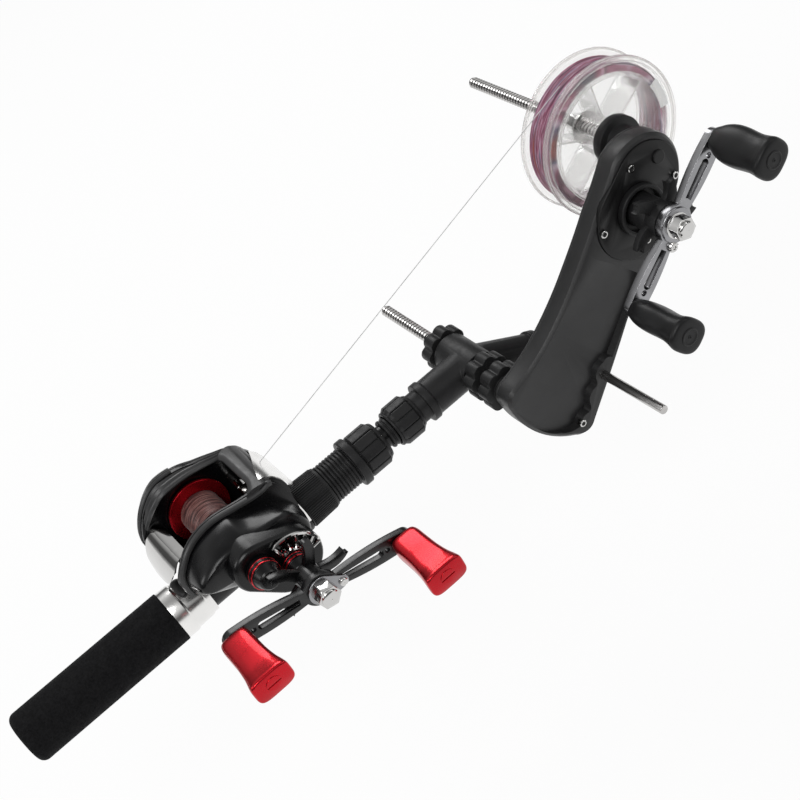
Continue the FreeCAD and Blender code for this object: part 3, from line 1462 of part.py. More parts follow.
def make_line():
    """The taut line runs from the level wind over the nose to the top of the winding."""
    hub = arm_spot(S.spindle_place)
    guide = FreeCAD.Vector(S.guide_place.value, 0, GUIDE_HEIGHT.value)
    reach = math.hypot(hub[0].value - guide.x, hub[1].value - guide.z)
    slope = math.atan2(hub[1].value - guide.z, hub[0].value - guide.x)
    radius = WINDING_RADIUS.value + S.line_radius.value + S.running_gap.value
    angle = slope + math.asin(radius / reach)
    length = math.sqrt(reach ** 2 - radius ** 2)
    touch = FreeCAD.Vector(guide.x + length * math.cos(angle), -S.line_spool_side.value,
                           guide.z + length * math.sin(angle))
    middle = guide + (touch - guide) * S.line_split.value
    straight_line("line_lower", guide, middle)
    straight_line("line_upper", middle, touch)


for step in (make_grip, make_core, make_rear_hood, make_seat, make_front_hood, make_hood_nut, make_large_nut,
             make_collet, make_small_nut, make_extension, make_bracket, make_cross_bolt, make_star_nuts,
             make_case_back, make_case_front, make_cover_plate, make_screws, make_guide_pin, make_gears,
             make_bearings, make_collar, make_crank_shaft, make_star_wheel, make_crank_arm, make_crank_nut,
             make_crank_knobs, make_spindle, make_line_spool, make_winding, make_spool_nut,
             make_foot, make_reel_frame, make_palm_cover, make_gear_cover, make_nose_trim, make_thumb_bar,
             make_reel_spool, make_reel_line, make_reel_gears, make_reel_bearings, make_worm, make_level_wind,
             make_drive_shaft, make_tension_knob, make_shaft_cap, make_reel_drag, make_reel_handle,
             make_handle_nut, make_red_knobs, make_ornament, make_line):
    step()


# ---------------------------------------------------------------- checks and export

doc.recompute()
faults = [item.Label for item in doc.Objects if "Invalid" in item.State or "Error" in item.State]
faults += [node.Label for node in nodes
           if node.Shape.isNull() or not node.Shape.isValid() or node.Shape.Volume <= 0]
if faults:
    raise ValueError("failed: " + ", ".join(faults))
for node in nodes:
    node.Shape.exportStep(f"parts/{node.Label}.step")
    print(f"{node.Label}: {len(node.Shape.Solids)} solid, {node.Shape.Volume:.0f} mm3")
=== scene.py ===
"""Dresses the fishing line winder: grip and reel seat, casting reel, bracket, gear arm and line spool.

The CAD frame stays where it is. Sizes below are in millimetres unless a property says otherwise.
"""
import json
import math

import bmesh
import bpy
from mathutils import Matrix, Vector


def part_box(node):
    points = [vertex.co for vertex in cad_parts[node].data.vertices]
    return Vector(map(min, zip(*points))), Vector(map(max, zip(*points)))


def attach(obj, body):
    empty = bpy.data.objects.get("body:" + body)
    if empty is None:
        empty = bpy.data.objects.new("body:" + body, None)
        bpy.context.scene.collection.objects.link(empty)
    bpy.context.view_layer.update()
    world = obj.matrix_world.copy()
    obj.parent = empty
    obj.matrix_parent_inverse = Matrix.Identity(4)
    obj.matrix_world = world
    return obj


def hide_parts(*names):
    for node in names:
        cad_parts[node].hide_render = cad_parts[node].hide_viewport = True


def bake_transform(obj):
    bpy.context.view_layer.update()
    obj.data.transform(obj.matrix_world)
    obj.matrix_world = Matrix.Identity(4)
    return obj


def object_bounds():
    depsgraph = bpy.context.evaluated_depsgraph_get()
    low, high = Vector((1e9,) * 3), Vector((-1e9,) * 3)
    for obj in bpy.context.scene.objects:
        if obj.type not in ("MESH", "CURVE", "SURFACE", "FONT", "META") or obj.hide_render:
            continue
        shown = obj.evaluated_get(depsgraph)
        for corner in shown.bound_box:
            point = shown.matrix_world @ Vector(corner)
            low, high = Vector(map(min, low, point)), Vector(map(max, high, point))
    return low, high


bl_info = {
    "name": "Line winder dresser",
    "version": (1, 0, 0),
    "blender": (4, 5, 0),
    "location": "3D View > Sidebar > Line winder",
    "description": "Builds the visible pieces and finishes of a fishing line winder round its CAD frame",
    "category": "Object",
}

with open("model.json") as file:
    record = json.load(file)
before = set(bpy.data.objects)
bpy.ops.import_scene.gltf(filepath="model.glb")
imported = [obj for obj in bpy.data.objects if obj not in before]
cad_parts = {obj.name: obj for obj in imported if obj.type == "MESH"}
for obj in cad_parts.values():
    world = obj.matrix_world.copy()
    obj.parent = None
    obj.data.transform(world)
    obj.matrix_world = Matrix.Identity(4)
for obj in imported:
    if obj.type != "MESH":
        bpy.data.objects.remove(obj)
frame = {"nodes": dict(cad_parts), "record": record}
CAD_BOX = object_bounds()
MM = 0.001
FULL = 2 * math.pi


def middle(node):
    """The centre of a CAD node's box, in millimetres."""
    low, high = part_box(node)
    return [(a + b) / 2 / MM for a, b in zip(low, high)]


def ends(node, axis):
    """The lowest and highest place of a CAD node along an axis, in millimetres."""
    low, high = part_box(node)
    return low[axis] / MM, high[axis] / MM


def across(hub):
    """The x and z of an axis that runs along Y."""
    return hub[0], hub[2]


# Middles of the CAD's shafts, tilts about Y in degrees, and the reach to the crank's knobs.
SPINDLE = middle("spindle_bearing")
CRANK = middle("crank_bearing")
REEL = middle("reel_bearings")
DRIVE = middle("reel_drive_shaft")
PIVOT = middle("cross_bolt")
ARM_TILT = 28.73
CRANK_TILT = ARM_TILT + 4.9
HANDLE_TILT = -13.3
CRANK_REACH = 41.3
SPOOL_RIBS = 6


# ---------------------------------------------------------------- sizes and colours

def millimetres(name, text, value, low=0.0):
    return bpy.props.FloatProperty(name=name, description=text, default=value, min=low)


def number(name, text, value, **limits):
    return bpy.props.IntProperty(name=name, description=text, default=value, **limits)


def colour(name, text, value):
    return bpy.props.FloatVectorProperty(
        name=name, description=text, default=value, size=3, subtype="COLOR", min=0.0, max=1.0)


class WinderSizes(bpy.types.PropertyGroup):
    """Sizes of the repeated and added details, in millimetres."""
    thread_pitch: millimetres("Thread pitch", "Pitch of the rods' threads", 2.3, 0.5)
    thread_depth: millimetres("Thread depth", "Depth of the rods' threads", 0.6, 0.1)
    hood_ribs: number("Hood nut ribs", "Ribs round the hood nut", 60, min=12)
    flutes: number("Collet flutes", "Flats round a collet nut", 12, min=6)
    seat_rings: number("Seat rings", "Rings in front of the hood nut", 8)
    line_width: millimetres("Line width", "Thickness of the fishing line", 0.42, 0.1)
    edge: millimetres("Moulded edge", "Rounding of moulded edges", 0.7, 0.05)
    metal_edge: millimetres("Metal edge", "Rounding of metal edges", 0.35, 0.05)
    floor_drop: millimetres("Floor drop", "How far the floor lies under the winder", 95.0)


class WinderColours(bpy.types.PropertyGroup):
    """Base colours of the winder's finishes."""
    foam: colour("Foam", "Grip foam", (0.006, 0.006, 0.0065))
    plastic: colour("Plastic", "Satin black plastic", (0.014, 0.014, 0.0145))
    gear_case: colour("Gear case", "Fine-grained black of the gear case", (0.018, 0.018, 0.0185))
    gloss: colour("Gloss black", "Glossy reel covers", (0.003, 0.003, 0.0035))
    bar: colour("Front bar", "Satin grey-black bar of the reel", (0.036, 0.036, 0.0365))
    chrome: colour("Chrome", "Mirror plating", (0.6, 0.595, 0.585))
    steel: colour("Steel", "Rods, pins and screws", (0.55, 0.54, 0.53))
    alloy: colour("Alloy", "Polished arm of the crank", (0.3, 0.3, 0.31))
    red: colour("Red", "Anodised red of the knobs and the reel's spool", (0.5, 0.006, 0.014))
    rubber: colour("Rubber", "Crank knobs", (0.008, 0.008, 0.0085))
    clear: colour("Clear", "Clear spool", (0.97, 0.965, 0.95))
    line: colour("Line", "The taut line between reel and spool", (0.6, 0.6, 0.6))


def sizes():
    """The winder's sizes, as the scene holds them."""
    return bpy.context.scene.winder_sizes


def tint(name):
    """One of the winder's base colours, as the scene holds it."""
    return tuple(getattr(bpy.context.scene.winder_colours, name))


# ---------------------------------------------------------------- nodes

def feed(tree, node, inputs):
    """Give a node its inputs: a socket is linked, and any other value is set."""
    for key, value in inputs.items():
        if isinstance(value, bpy.types.NodeSocket):
            tree.links.new(value, node.inputs[key])
        else:
            node.inputs[key].default_value = value


def add_node(tree, kind, inputs, outlet=0, **settings):
    """A new node with its settings and inputs; returns one of its outputs."""
    node = tree.nodes.new(kind)
    for name, value in settings.items():
        setattr(node, name, value)
    feed(tree, node, inputs)
    return node.outputs[outlet]


def ramp(tree, value, stops):
    """A blend between shades, each at its place from 0 to 1."""
    result = add_node(tree, "ShaderNodeValToRGB", {"Fac": value}, "Color")
    elements = result.node.color_ramp.elements
    while len(elements) < len(stops):
        elements.new(0.5)
    for element, (place, shade) in zip(elements, stops):
        element.position = place
        element.color = (*shade, 1.0)
    return result


def seen_by(tree, *rays):
    """1 for rays of any of these kinds, and 0 for the rest."""
    paths = tree.nodes.new("ShaderNodeLightPath").outputs
    share = paths[f"Is {rays[0]} Ray"]
    for ray in rays[1:]:
        share = add_node(tree, "ShaderNodeMath", {0: share, 1: paths[f"Is {ray} Ray"]}, operation="MAXIMUM")
    return share


# ---------------------------------------------------------------- finishes

class Finish:
    """A material under construction, with its shader and shared object coordinates."""

    def __init__(self, name, values):
        self.material = bpy.data.materials.new(name)
        self.material.use_nodes = True
        self.tree = self.material.node_tree
        self.shader = self.tree.nodes["Principled BSDF"]
        self.place = self.add("TexCoord", {}, "Object")
        self.set(values)

    def add(self, kind, inputs, outlet=0):
        return add_node(self.tree, "ShaderNode" + kind, inputs, outlet)

    def set(self, inputs):
        feed(self.tree, self.shader, inputs)

    def noise(self, scale, detail=4.0, stretch=None):
        place = self.place
        if stretch:
            place = self.add("Mapping", {"Vector": place, "Scale": stretch})
        return self.add("TexNoise", {"Vector": place, "Scale": scale, "Detail": detail}, "Fac")

    def paint(self, shade, amount, source):
        """A base colour that strays by a share of itself to each side."""
        dark = tuple(c * (1 - amount) for c in shade)
        light = tuple(min(1.0, c * (1 + amount)) for c in shade)
        self.set({"Base Color": ramp(self.tree, source, [(0.35, dark), (0.65, light)])})

    def rough(self, low, high, source):
        self.set({"Roughness": self.add("MapRange", {
            "Value": source, "From Min": 0.3, "From Max": 0.7, "To Min": low, "To Max": high}, "Result")})

    def bump(self, source, height, strength=1.0):
        """Relief of a height in millimetres."""
        self.set({"Normal": self.add("Bump", {
            "Height": source, "Distance": height * MM, "Strength": strength}, "Normal")})


def plain_finish(name, shade, rough, metal=0.0, mottle=0.12, size=120, grain=None, streaks=None, coat=0.0,
                 shine=0.5):
    """One colour with a slight mottle; grain is the scale and height of its relief."""
    made = Finish(name, {"Metallic": metal, "Specular IOR Level": shine, "Coat Weight": coat,
                         "Coat Roughness": 0.04})
    made.paint(shade, mottle, made.noise(size))
    made.rough(*rough, made.noise(size * 2.3, 6.0, streaks))
    if grain:
        scale, height = grain
        made.bump(made.noise(scale, 2.0, streaks), height)
    return made.material


def foam_finish():
    """Matt foam with fine pores."""
    made = Finish("grip_foam", {"Specular IOR Level": 0.12})
    made.paint(tint("foam"), 0.35, made.noise(900, 3.0))
    made.rough(0.72, 0.92, made.noise(300))
    pores = made.add("TexVoronoi", {"Vector": made.place, "Scale": 1500}, "Distance")
    made.bump(pores, 0.16, 0.8)
    return made.material


def clear_finish(name, cover, rough):
    """Clear plastic: cover is the share of light that the surface stops or bends."""
    made = Finish(name, {"Base Color": (*tint("clear"), 1), "Transmission Weight": 0.85, "IOR": 1.3,
                         "Alpha": cover})
    made.rough(*rough, made.noise(160))
    made.bump(made.noise(90, 2.0), 0.03)
    return made.material


def wound_finish(name, stops, fine):
    """Line of several colours: the colour changes from turn to turn, which lie across the Y axis."""
    made = Finish(name, {"Sheen Weight": 0.2})
    made.set({"Base Color": ramp(made.tree, made.noise(fine, 3.0, (0.03, 1.0, 0.03)), stops)})
    made.rough(0.3, 0.5, made.noise(600))
    made.bump(made.noise(2500, 2.0), 0.04)
    return made.material


def spool_painted_shade_finish():
    """Anodised red with painted shade: it darkens towards the spool's gear side, where the near flange lies
    in shadow.
    """
    dark, bright = -10.0, 8.0
    made = Finish("spool_red", {"Metallic": 0.85})
    place = made.add("SeparateXYZ", {0: made.place}, "Y")
    share = made.add("MapRange", {"Value": place, "From Min": dark * MM, "From Max": bright * MM}, "Result")
    # painted shade: near black at the gear side, the anodised red towards the palm side
    made.set({"Base Color": ramp(made.tree, share, [(0.1, (0.015, 0.001, 0.001)), (0.9, tint("red"))])})
    made.rough(0.22, 0.34, made.noise(300))
    return made.material


def floor_finish():
    """A pale floor that glows where it is seen, so it stays near white round its soft shadows."""
    glow_share = 0.9
    made = Finish("floor_white", {"Base Color": (0.93, 0.93, 0.93, 1), "Roughness": 0.85})
    seen = seen_by(made.tree, "Camera", "Glossy", "Transmission")
    share = add_node(made.tree, "ShaderNodeMath", {0: seen, 1: glow_share}, operation="MULTIPLY")
    glow = made.add("Emission", {"Color": (1, 1, 1, 1)})
    mix = made.add("MixShader", {0: share, 1: made.shader.outputs[0], 2: glow})
    feed(made.tree, made.tree.nodes["Material Output"], {"Surface": mix})
    return made.material


def times(values, share):
    """A colour or place times a number."""
    return tuple(value * share for value in values)


def make_finishes():
    """Every finish by its name."""
    gloss, case, red, steel = tint("gloss"), tint("gear_case"), tint("red"), tint("steel")
    case_grain = (3200, 0.02)
    plain = (
        ("black_plastic", tint("plastic"), (0.36, 0.5), dict(grain=(2600, 0.02), shine=0.25)),
        ("case_black", case, (0.34, 0.44), dict(size=60, grain=case_grain, shine=0.38)),
        ("cover_black", times(case, 0.35), (0.34, 0.44), dict(size=60, grain=case_grain, shine=0.3)),
        ("gloss_black", gloss, (0.2, 0.3), dict(size=80, shine=0.33)),
        ("handle_metal", gloss, (0.22, 0.34), dict(mottle=0.2)),
        ("frame_black", tint("bar"), (0.28, 0.4), dict(grain=(4000, 0.01), shine=0.4)),
        ("chrome", tint("chrome"), (0.04, 0.12), dict(metal=1.0, mottle=0.03, size=50)),
        ("satin_chrome", times(tint("chrome"), 1.4), (0.16, 0.28), dict(metal=1.0, mottle=0.04, size=50)),
        ("steel", steel, (0.2, 0.36),
         dict(metal=1.0, mottle=0.08, grain=(700, 0.01), streaks=(1.0, 0.08, 1.0))),
        # the threads' own steel, darkened as painted shade for the core between the turns
        ("dark_steel", times(steel, 0.12), (0.45, 0.6), dict(metal=1.0)),
        ("alloy", tint("alloy"), (0.16, 0.28), dict(metal=1.0, mottle=0.1, size=90, streaks=(1.0, 1.0, 0.3))),
        ("red_anodised", red, (0.22, 0.34),
         dict(metal=0.9, mottle=0.08, size=40, grain=(2800, 0.012), coat=0.25)),
        ("red_ring", red, (0.12, 0.25), dict(metal=0.9, coat=0.4)),
        ("knob_rubber", tint("rubber"), (0.34, 0.46), dict(grain=(2200, 0.02), shine=0.25)),
        ("taut_line", tint("line"), (0.25, 0.4), {}),
        ("gear_brass", (0.62, 0.45, 0.18), (0.25, 0.4), dict(metal=1.0)),
        ("gear_plastic", (0.72, 0.72, 0.69), (0.4, 0.55), {}),
        ("white_tag", (0.86, 0.86, 0.85), (0.5, 0.65), dict(mottle=0.02)),
    )
    made = {name: plain_finish(name, shade, rough, **rest) for name, shade, rough, rest in plain}
    made["grip_foam"] = foam_finish()
    # the reel's spool red, with painted shade towards its gear side
    made["spool_red"] = spool_painted_shade_finish()
    made["floor_white"] = floor_finish()
    made["clear_spool"] = clear_finish("clear_spool", 0.5, (0.03, 0.08))
    # a whiter, less clear finish for the beads that stand in for highlights on the spool's edges
    made["clear_rim"] = clear_finish("clear_rim", 0.75, (0.1, 0.2))
    made["spool_line"] = wound_finish("spool_line", [
        (0.34, (0.04, 0.025, 0.05)), (0.42, (0.25, 0.02, 0.08)), (0.46, (0.55, 0.3, 0.4)),
        (0.49, (0.12, 0.02, 0.05)), (0.53, (0.3, 0.06, 0.14)), (0.57, (0.6, 0.45, 0.55)),
        (0.6, (0.12, 0.1, 0.18)), (0.68, (0.3, 0.05, 0.04))], 800)
    # the same line as on the clear spool, in darker colours: painted shade inside the reel
    made["reel_line"] = wound_finish("reel_line", [
        (0.36, (0.014, 0.003, 0.003)), (0.46, (0.1, 0.02, 0.018)), (0.52, (0.32, 0.15, 0.13)),
        (0.58, (0.04, 0.008, 0.007))], 1300)
    return made


FINISHES = {}


# ---------------------------------------------------------------- mesh building

def smooth(mesh, angle=32.0):
    """Shade a mesh smooth, apart from edges sharper than an angle in degrees."""
    for face in mesh.polygons:
        face.use_smooth = True
    mesh.set_sharp_from_angle(angle=math.radians(angle))


def wear(mesh, finish):
    """Give a mesh one finish."""
    mesh.materials.clear()
    mesh.materials.append(FINISHES[finish])


def placed(name, bm):
    """Turn a bmesh in metres into an object."""
    mesh = bpy.data.meshes.new(name)
    bm.to_mesh(mesh)
    bm.free()
    piece = bpy.data.objects.new(name, mesh)
    bpy.context.scene.collection.objects.link(piece)
    return piece


def new_piece(name, bm, finish, angle=32.0):
    """Turn a bmesh in millimetres into an object in metres."""
    bmesh.ops.remove_doubles(bm, verts=bm.verts, dist=0.0004)
    bmesh.ops.recalc_face_normals(bm, faces=bm.faces)
    bmesh.ops.scale(bm, vec=(MM, MM, MM), verts=bm.verts)
    piece = placed(name, bm)
    smooth(piece.data, angle)
    wear(piece.data, finish)
    return piece


def settle(piece, body, slot, *replaced):
    """The piece rides on its body; the slot is not used. It may stand for CAD nodes, which are hidden."""
    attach(piece, body)
    if replaced:
        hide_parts(*replaced)


def bake(piece):
    """Turn an object's modifiers into a plain mesh."""
    bpy.context.view_layer.update()
    graph = bpy.context.evaluated_depsgraph_get()
    mesh = bpy.data.meshes.new_from_object(piece.evaluated_get(graph))
    piece.modifiers.clear()
    piece.data = mesh


def skin(bm, rings, closed=False):
    """Walls between rings of equal length; the ends are capped, or joined when closed."""
    rows = [[bm.verts.new(point) for point in ring] for ring in rings]
    pairs = list(zip(rows, rows[1:])) + ([(rows[-1], rows[0])] if closed else [])
    for one, two in pairs:
        for i in range(len(one)):
            j = (i + 1) % len(one)
            bm.faces.new((one[i], one[j], two[j], two[i]))
    if not closed:
        bm.faces.new(rows[0])
        bm.faces.new(rows[-1])


def eased(points, radius):
    """A polygon's corners cut back and rounded."""
    steps = 3
    made = []
    for i, point in enumerate(points):
        here = Vector(point)
        before, after = Vector(points[i - 1]), Vector(points[(i + 1) % len(points)])
        one, two = before - here, after - here
        reach = min(radius, one.length * 0.45, two.length * 0.45)
        start, end = here + one.normalized() * reach, here + two.normalized() * reach
        for k in range(steps + 1):
            t = k / steps
            made.append(tuple(start * (1 - t) ** 2 + here * 2 * t * (1 - t) + end * t ** 2))
    return made


def turn(bm, profile, axis="Y", spot=(0, 0), steps=72, arc=None):
    """Turn a closed profile of (along, radius) about an axis: X through (y, z), or Y through (x, z)."""
    start, span = arc or (0.0, FULL)
    count = steps if arc is None else steps + 1
    rings = []
    for k in range(count):
        angle = start + span * k / steps
        c, s = math.cos(angle), math.sin(angle)
        if axis == "X":
            rings.append([(along, spot[0] + radius * c, spot[1] + radius * s) for along, radius in profile])
        else:
            rings.append([(spot[0] + radius * c, along, spot[1] + radius * s) for along, radius in profile])
    skin(bm, rings, closed=arc is None)


def turned(name, profile, finish, axis="Y", spot=(0, 0), ease=0.4, steps=72, arc=None):
    """A piece turned from a profile whose corners are eased."""
    bm = bmesh.new()
    turn(bm, eased(profile, ease) if ease else profile, axis, spot, steps, arc)
    return new_piece(name, bm, finish)


def skinned(name, rings, finish, angle=32.0):
    """A piece whose walls run from ring to ring."""
    bm = bmesh.new()
    skin(bm, rings)
    return new_piece(name, bm, finish, angle)


def average(points):
    """The middle of a list of (x, z) points."""
    return sum(p[0] for p in points) / len(points), sum(p[1] for p in points) / len(points)


def hub_frame(hub, tilt):
    """Local (x, z) about a Y axis, turned by a tilt in degrees, to world x and z."""
    c, s = math.cos(math.radians(tilt)), math.sin(math.radians(tilt))
    return lambda x, z: (hub[0] + x * c - z * s, hub[2] + x * s + z * c)


def slab(bm, outline, low, high, ease, place=lambda x, z: (x, z)):
    """A plate between two places on Y with rounded rims; the outline is convex or nearly so."""
    steps = 3
    cx, cz = average(outline)

    def ring(y, inset):
        made = []
        for x, z in outline:
            reach = math.hypot(x - cx, z - cz)
            share = 1 - inset / reach if reach > inset else 0.0
            east, up = place(cx + (x - cx) * share, cz + (z - cz) * share)
            made.append((east, y, up))
        return made
    quarter = [math.radians(90 * k / steps) for k in range(steps + 1)]
    rings = [ring(low + ease * (1 - math.cos(q)), ease * (1 - math.sin(q))) for q in quarter]
    rings += [ring(high - ease * (1 - math.cos(q)), ease * (1 - math.sin(q))) for q in reversed(quarter)]
    skin(bm, rings)


def hull(one, radius_one, two, radius_two, count=64):
    """The outline of two circles and their outer tangents."""
    made = []
    for k in range(count):
        a = FULL * k / count
        n = (math.cos(a), math.sin(a))
        first = one[0] * n[0] + one[1] * n[1] + radius_one
        second = two[0] * n[0] + two[1] * n[1] + radius_two
        middle_point, radius = (one, radius_one) if first >= second else (two, radius_two)
        made.append((middle_point[0] + radius * n[0], middle_point[1] + radius * n[1]))
    return made


def curved(corners):
    """An outline of (x, z, bulge) corners, each side bulging to its left by the given rise."""
    steps = 8
    made = []
    for i, corner in enumerate(corners):
        x, z = corner[0], corner[1]
        rise = corner[2] if len(corner) > 2 else 0.0
        nx, nz = corners[(i + 1) % len(corners)][:2]
        length = math.hypot(nx - x, nz - z)
        left = (-(nz - z) / length, (nx - x) / length)
        for k in range(steps):
            t = k / steps
            lift = rise * 4 * t * (1 - t)
            made.append((x + (nx - x) * t + left[0] * lift, z + (nz - z) * t + left[1] * lift))
    return made


def by_angle(outline):
    """The outline sampled at even angles round the origin."""
    count = 96
    made = []
    for k in range(count):
        a = FULL * k / count
        dx, dz = math.cos(a), math.sin(a)
        best = 0.0
        for i, (x, z) in enumerate(outline):
            ex, ez = outline[(i + 1) % len(outline)]
            sx, sz = ex - x, ez - z
            cross = dx * sz - dz * sx
            if abs(cross) < 1e-12:
                continue
            t = (x * sz - z * sx) / cross
            u = (x * dz - z * dx) / cross
            if t > 0 and -1e-9 <= u <= 1 + 1e-9:
                best = max(best, t)
        made.append((dx * best, dz * best))
    return made


def flowing(points, steps=6):
    """A smooth curve through points of any number of values."""
    made = []
    last = len(points) - 1
    for i in range(last):
        spans = zip(*(points[max(0, min(last, i + k))] for k in (-1, 0, 1, 2)))
        factors = [(q, (r - p) / 2, p - 2.5 * q + 2 * r - s / 2, (3 * (q - r) - p + s) / 2)
                   for p, q, r, s in spans]
        for k in range(steps):
            t = k / steps
            made.append(tuple(a + b * t + c * t * t + d * t ** 3 for a, b, c, d in factors))
    made.append(tuple(points[-1]))
    return made


def rounded_ring(points, passes=2):
    """Even out the corners of a sampled outline."""
    for _ in range(passes):
        points = [tuple((points[i - 1][k] + 2 * p[k] + points[(i + 1) % len(points)][k]) / 4 for k in (0, 1))
                  for i, p in enumerate(points)]
    return points


def wire(bm, path, radius, sides=8, closed=False, up=(0, 1, 0)):
    """A round bar along a path."""
    path = [Vector(p) for p in path]
    count = len(path)
    rings = []
    for i, point in enumerate(path):
        before = path[i - 1] if closed or i else path[i]
        after = path[(i + 1) % count] if closed or i < count - 1 else path[i]
        ahead = (after - before).normalized()
        side = ahead.cross(Vector(up)).normalized()
        lift = side.cross(ahead).normalized()
        rings.append([tuple(point + side * (radius * math.cos(FULL * k / sides))
                            + lift * (radius * math.sin(FULL * k / sides))) for k in range(sides)])
    skin(bm, rings, closed=closed)


def softened(name, node, width, body, slot, finish=None, angle=34.0, segments=2, shape=None):
    """A copy of a CAD node with merged faces and rounded edges, which stands for the node.

    Shape is called with the merged mesh, in metres, before its edges are rounded.
    """
    flat = 0.6
    bm = bmesh.new()
    bm.from_mesh(frame["nodes"][node].data)
    bmesh.ops.remove_doubles(bm, verts=bm.verts, dist=1e-6)
    bmesh.ops.dissolve_limit(bm, angle_limit=math.radians(flat), verts=bm.verts, edges=bm.edges)
    if shape:
        shape(bm)
    piece = placed(name, bm)
    bevel = piece.modifiers.new("edges", "BEVEL")
    bevel.width = width * MM
    bevel.segments = segments
    bevel.limit_method = "ANGLE"
    bevel.angle_limit = math.radians(angle)
    bevel.use_clamp_overlap = True
    bake(piece)
    smooth(piece.data, 38.0)
    wear(piece.data, finish or slot)
    settle(piece, body, slot, node)


# ---------------------------------------------------------------- geometry node trees

def new_tree(name, **sockets):
    """A tree with a base and named inputs; returns it with what its input node gives."""
    tree = bpy.data.node_groups.new(name, "GeometryNodeTree")
    for label, kind in {"Geometry": "Geometry", **sockets, "Finish": "Material"}.items():
        tree.interface.new_socket(name=label, in_out="INPUT", socket_type="NodeSocket" + kind)
    tree.interface.new_socket(name="Geometry", in_out="OUTPUT", socket_type="NodeSocketGeometry")
    return tree, tree.nodes.new("NodeGroupInput").outputs


def close_tree(tree, given, *parts):
    """Join the parts, make them real and give them their finish."""
    join = tree.nodes.new("GeometryNodeJoinGeometry")
    for part in parts:
        tree.links.new(part, join.inputs[0])
    real = add_node(tree, "GeometryNodeRealizeInstances", {0: join.outputs[0]})
    paint = add_node(tree, "GeometryNodeSetMaterial", {"Geometry": real, "Material": given["Finish"]})
    feed(tree, tree.nodes.new("NodeGroupOutput"), {0: paint})
    return tree


def centred(tree, given, part):
    """The part moved to the tree's centre."""
    return add_node(tree, "GeometryNodeTransform", {"Geometry": part, "Translation": given["Centre"]})


def repeat_tree():
    """Copies of a unit piece, each moved and turned one step on from the last."""
    tree, given = new_tree("Repeated piece", Unit="Object", Count="Int", Step="Vector", Turn="Vector",
                           Centre="Vector")
    row = add_node(tree, "GeometryNodeMeshLine", {"Count": given["Count"], "Offset": given["Step"]})
    unit = add_node(tree, "GeometryNodeObjectInfo", {"Object": given["Unit"]}, "Geometry")
    index = add_node(tree, "GeometryNodeInputIndex", {})
    turns = add_node(tree, "ShaderNodeVectorMath", {0: given["Turn"], "Scale": index}, operation="SCALE")
    copies = add_node(tree, "GeometryNodeInstanceOnPoints", {
        "Points": row, "Instance": unit, "Rotation": turns})
    return close_tree(tree, given, centred(tree, given, copies), given["Geometry"])


def coil_tree():
    """A wire wound in a helix along Y: the threads of a rod and the turns of a line."""
    tree, given = new_tree("Coil", Turns="Float", Radius="Float", Length="Float", Wire="Float", Sides="Int",
                           Points="Int", Centre="Vector")
    spiral = add_node(tree, "GeometryNodeCurveSpiral", {
        "Rotations": given["Turns"], "Start Radius": given["Radius"], "End Radius": given["Radius"],
        "Height": given["Length"], "Resolution": given["Points"]})
    section = add_node(tree, "GeometryNodeCurvePrimitiveCircle", {
        "Resolution": given["Sides"], "Radius": given["Wire"]})
    upright = add_node(tree, "GeometryNodeSetCurveNormal", {"Curve": spiral}, mode="Z_UP")
    swept = add_node(tree, "GeometryNodeCurveToMesh", {
        "Curve": upright, "Profile Curve": section, "Fill Caps": True})
    lie = add_node(tree, "GeometryNodeTransform", {"Geometry": swept, "Rotation": (-math.pi / 2, 0, 0)})
    return close_tree(tree, given, centred(tree, given, lie), given["Geometry"])


def scatter_tree():
    """A unit piece on each vertex of the base, which itself is left out."""
    tree, given = new_tree("Piece on each place", Unit="Object")
    unit = add_node(tree, "GeometryNodeObjectInfo", {"Object": given["Unit"]}, "Geometry")
    copies = add_node(tree, "GeometryNodeInstanceOnPoints", {"Points": given["Geometry"], "Instance": unit})
    return close_tree(tree, given, copies)


TREES = {}


def run_tree(piece, kind, finish, angle=32.0, **values):
    """Put a tree on a piece, give it its inputs by their sockets, and keep its result as a plain mesh."""
    values["Finish"] = FINISHES[finish]
    modifier = piece.modifiers.new(kind, "NODES")
    modifier.node_group = TREES[kind]
    for item in TREES[kind].interface.items_tree:
        if item.in_out == "INPUT" and item.name in values:
            modifier[item.identifier] = values[item.name]
    bake(piece)
    smooth(piece.data, angle)
    if "Unit" in values:
        bpy.data.objects.remove(values["Unit"])


def repeated(piece, unit, count, finish, step=(0, 0, 0), turn=(0, 0, 0), centre=(0, 0, 0), angle=32.0):
    """Add copies of a unit to a piece; step and centre are in millimetres, and turn is in degrees."""
    run_tree(piece, "repeat", finish, angle, Unit=unit, Count=count, Step=times(step, MM),
             Turn=[math.radians(t) for t in turn], Centre=times(centre, MM))


def coiled(piece, finish, turns, radius, length, wire_radius, centre, sides, points):
    """Add a wire to a piece, wound round Y from a centre at its start."""
    run_tree(piece, "coil", finish, 60.0, Turns=turns, Radius=radius * MM, Length=length * MM,
             Wire=wire_radius * MM, Sides=sides, Points=points, Centre=times(centre, MM))


def wind_line(piece, finish, start, length, radius, spot, points):
    """The outer turns of a wound line, side by side from a place on Y."""
    wide = sizes().line_width
    coiled(piece, finish, length / wide, radius, length, wide * 0.5, (spot[0], start, spot[1]), 6, points)


# ---------------------------------------------------------------- operators

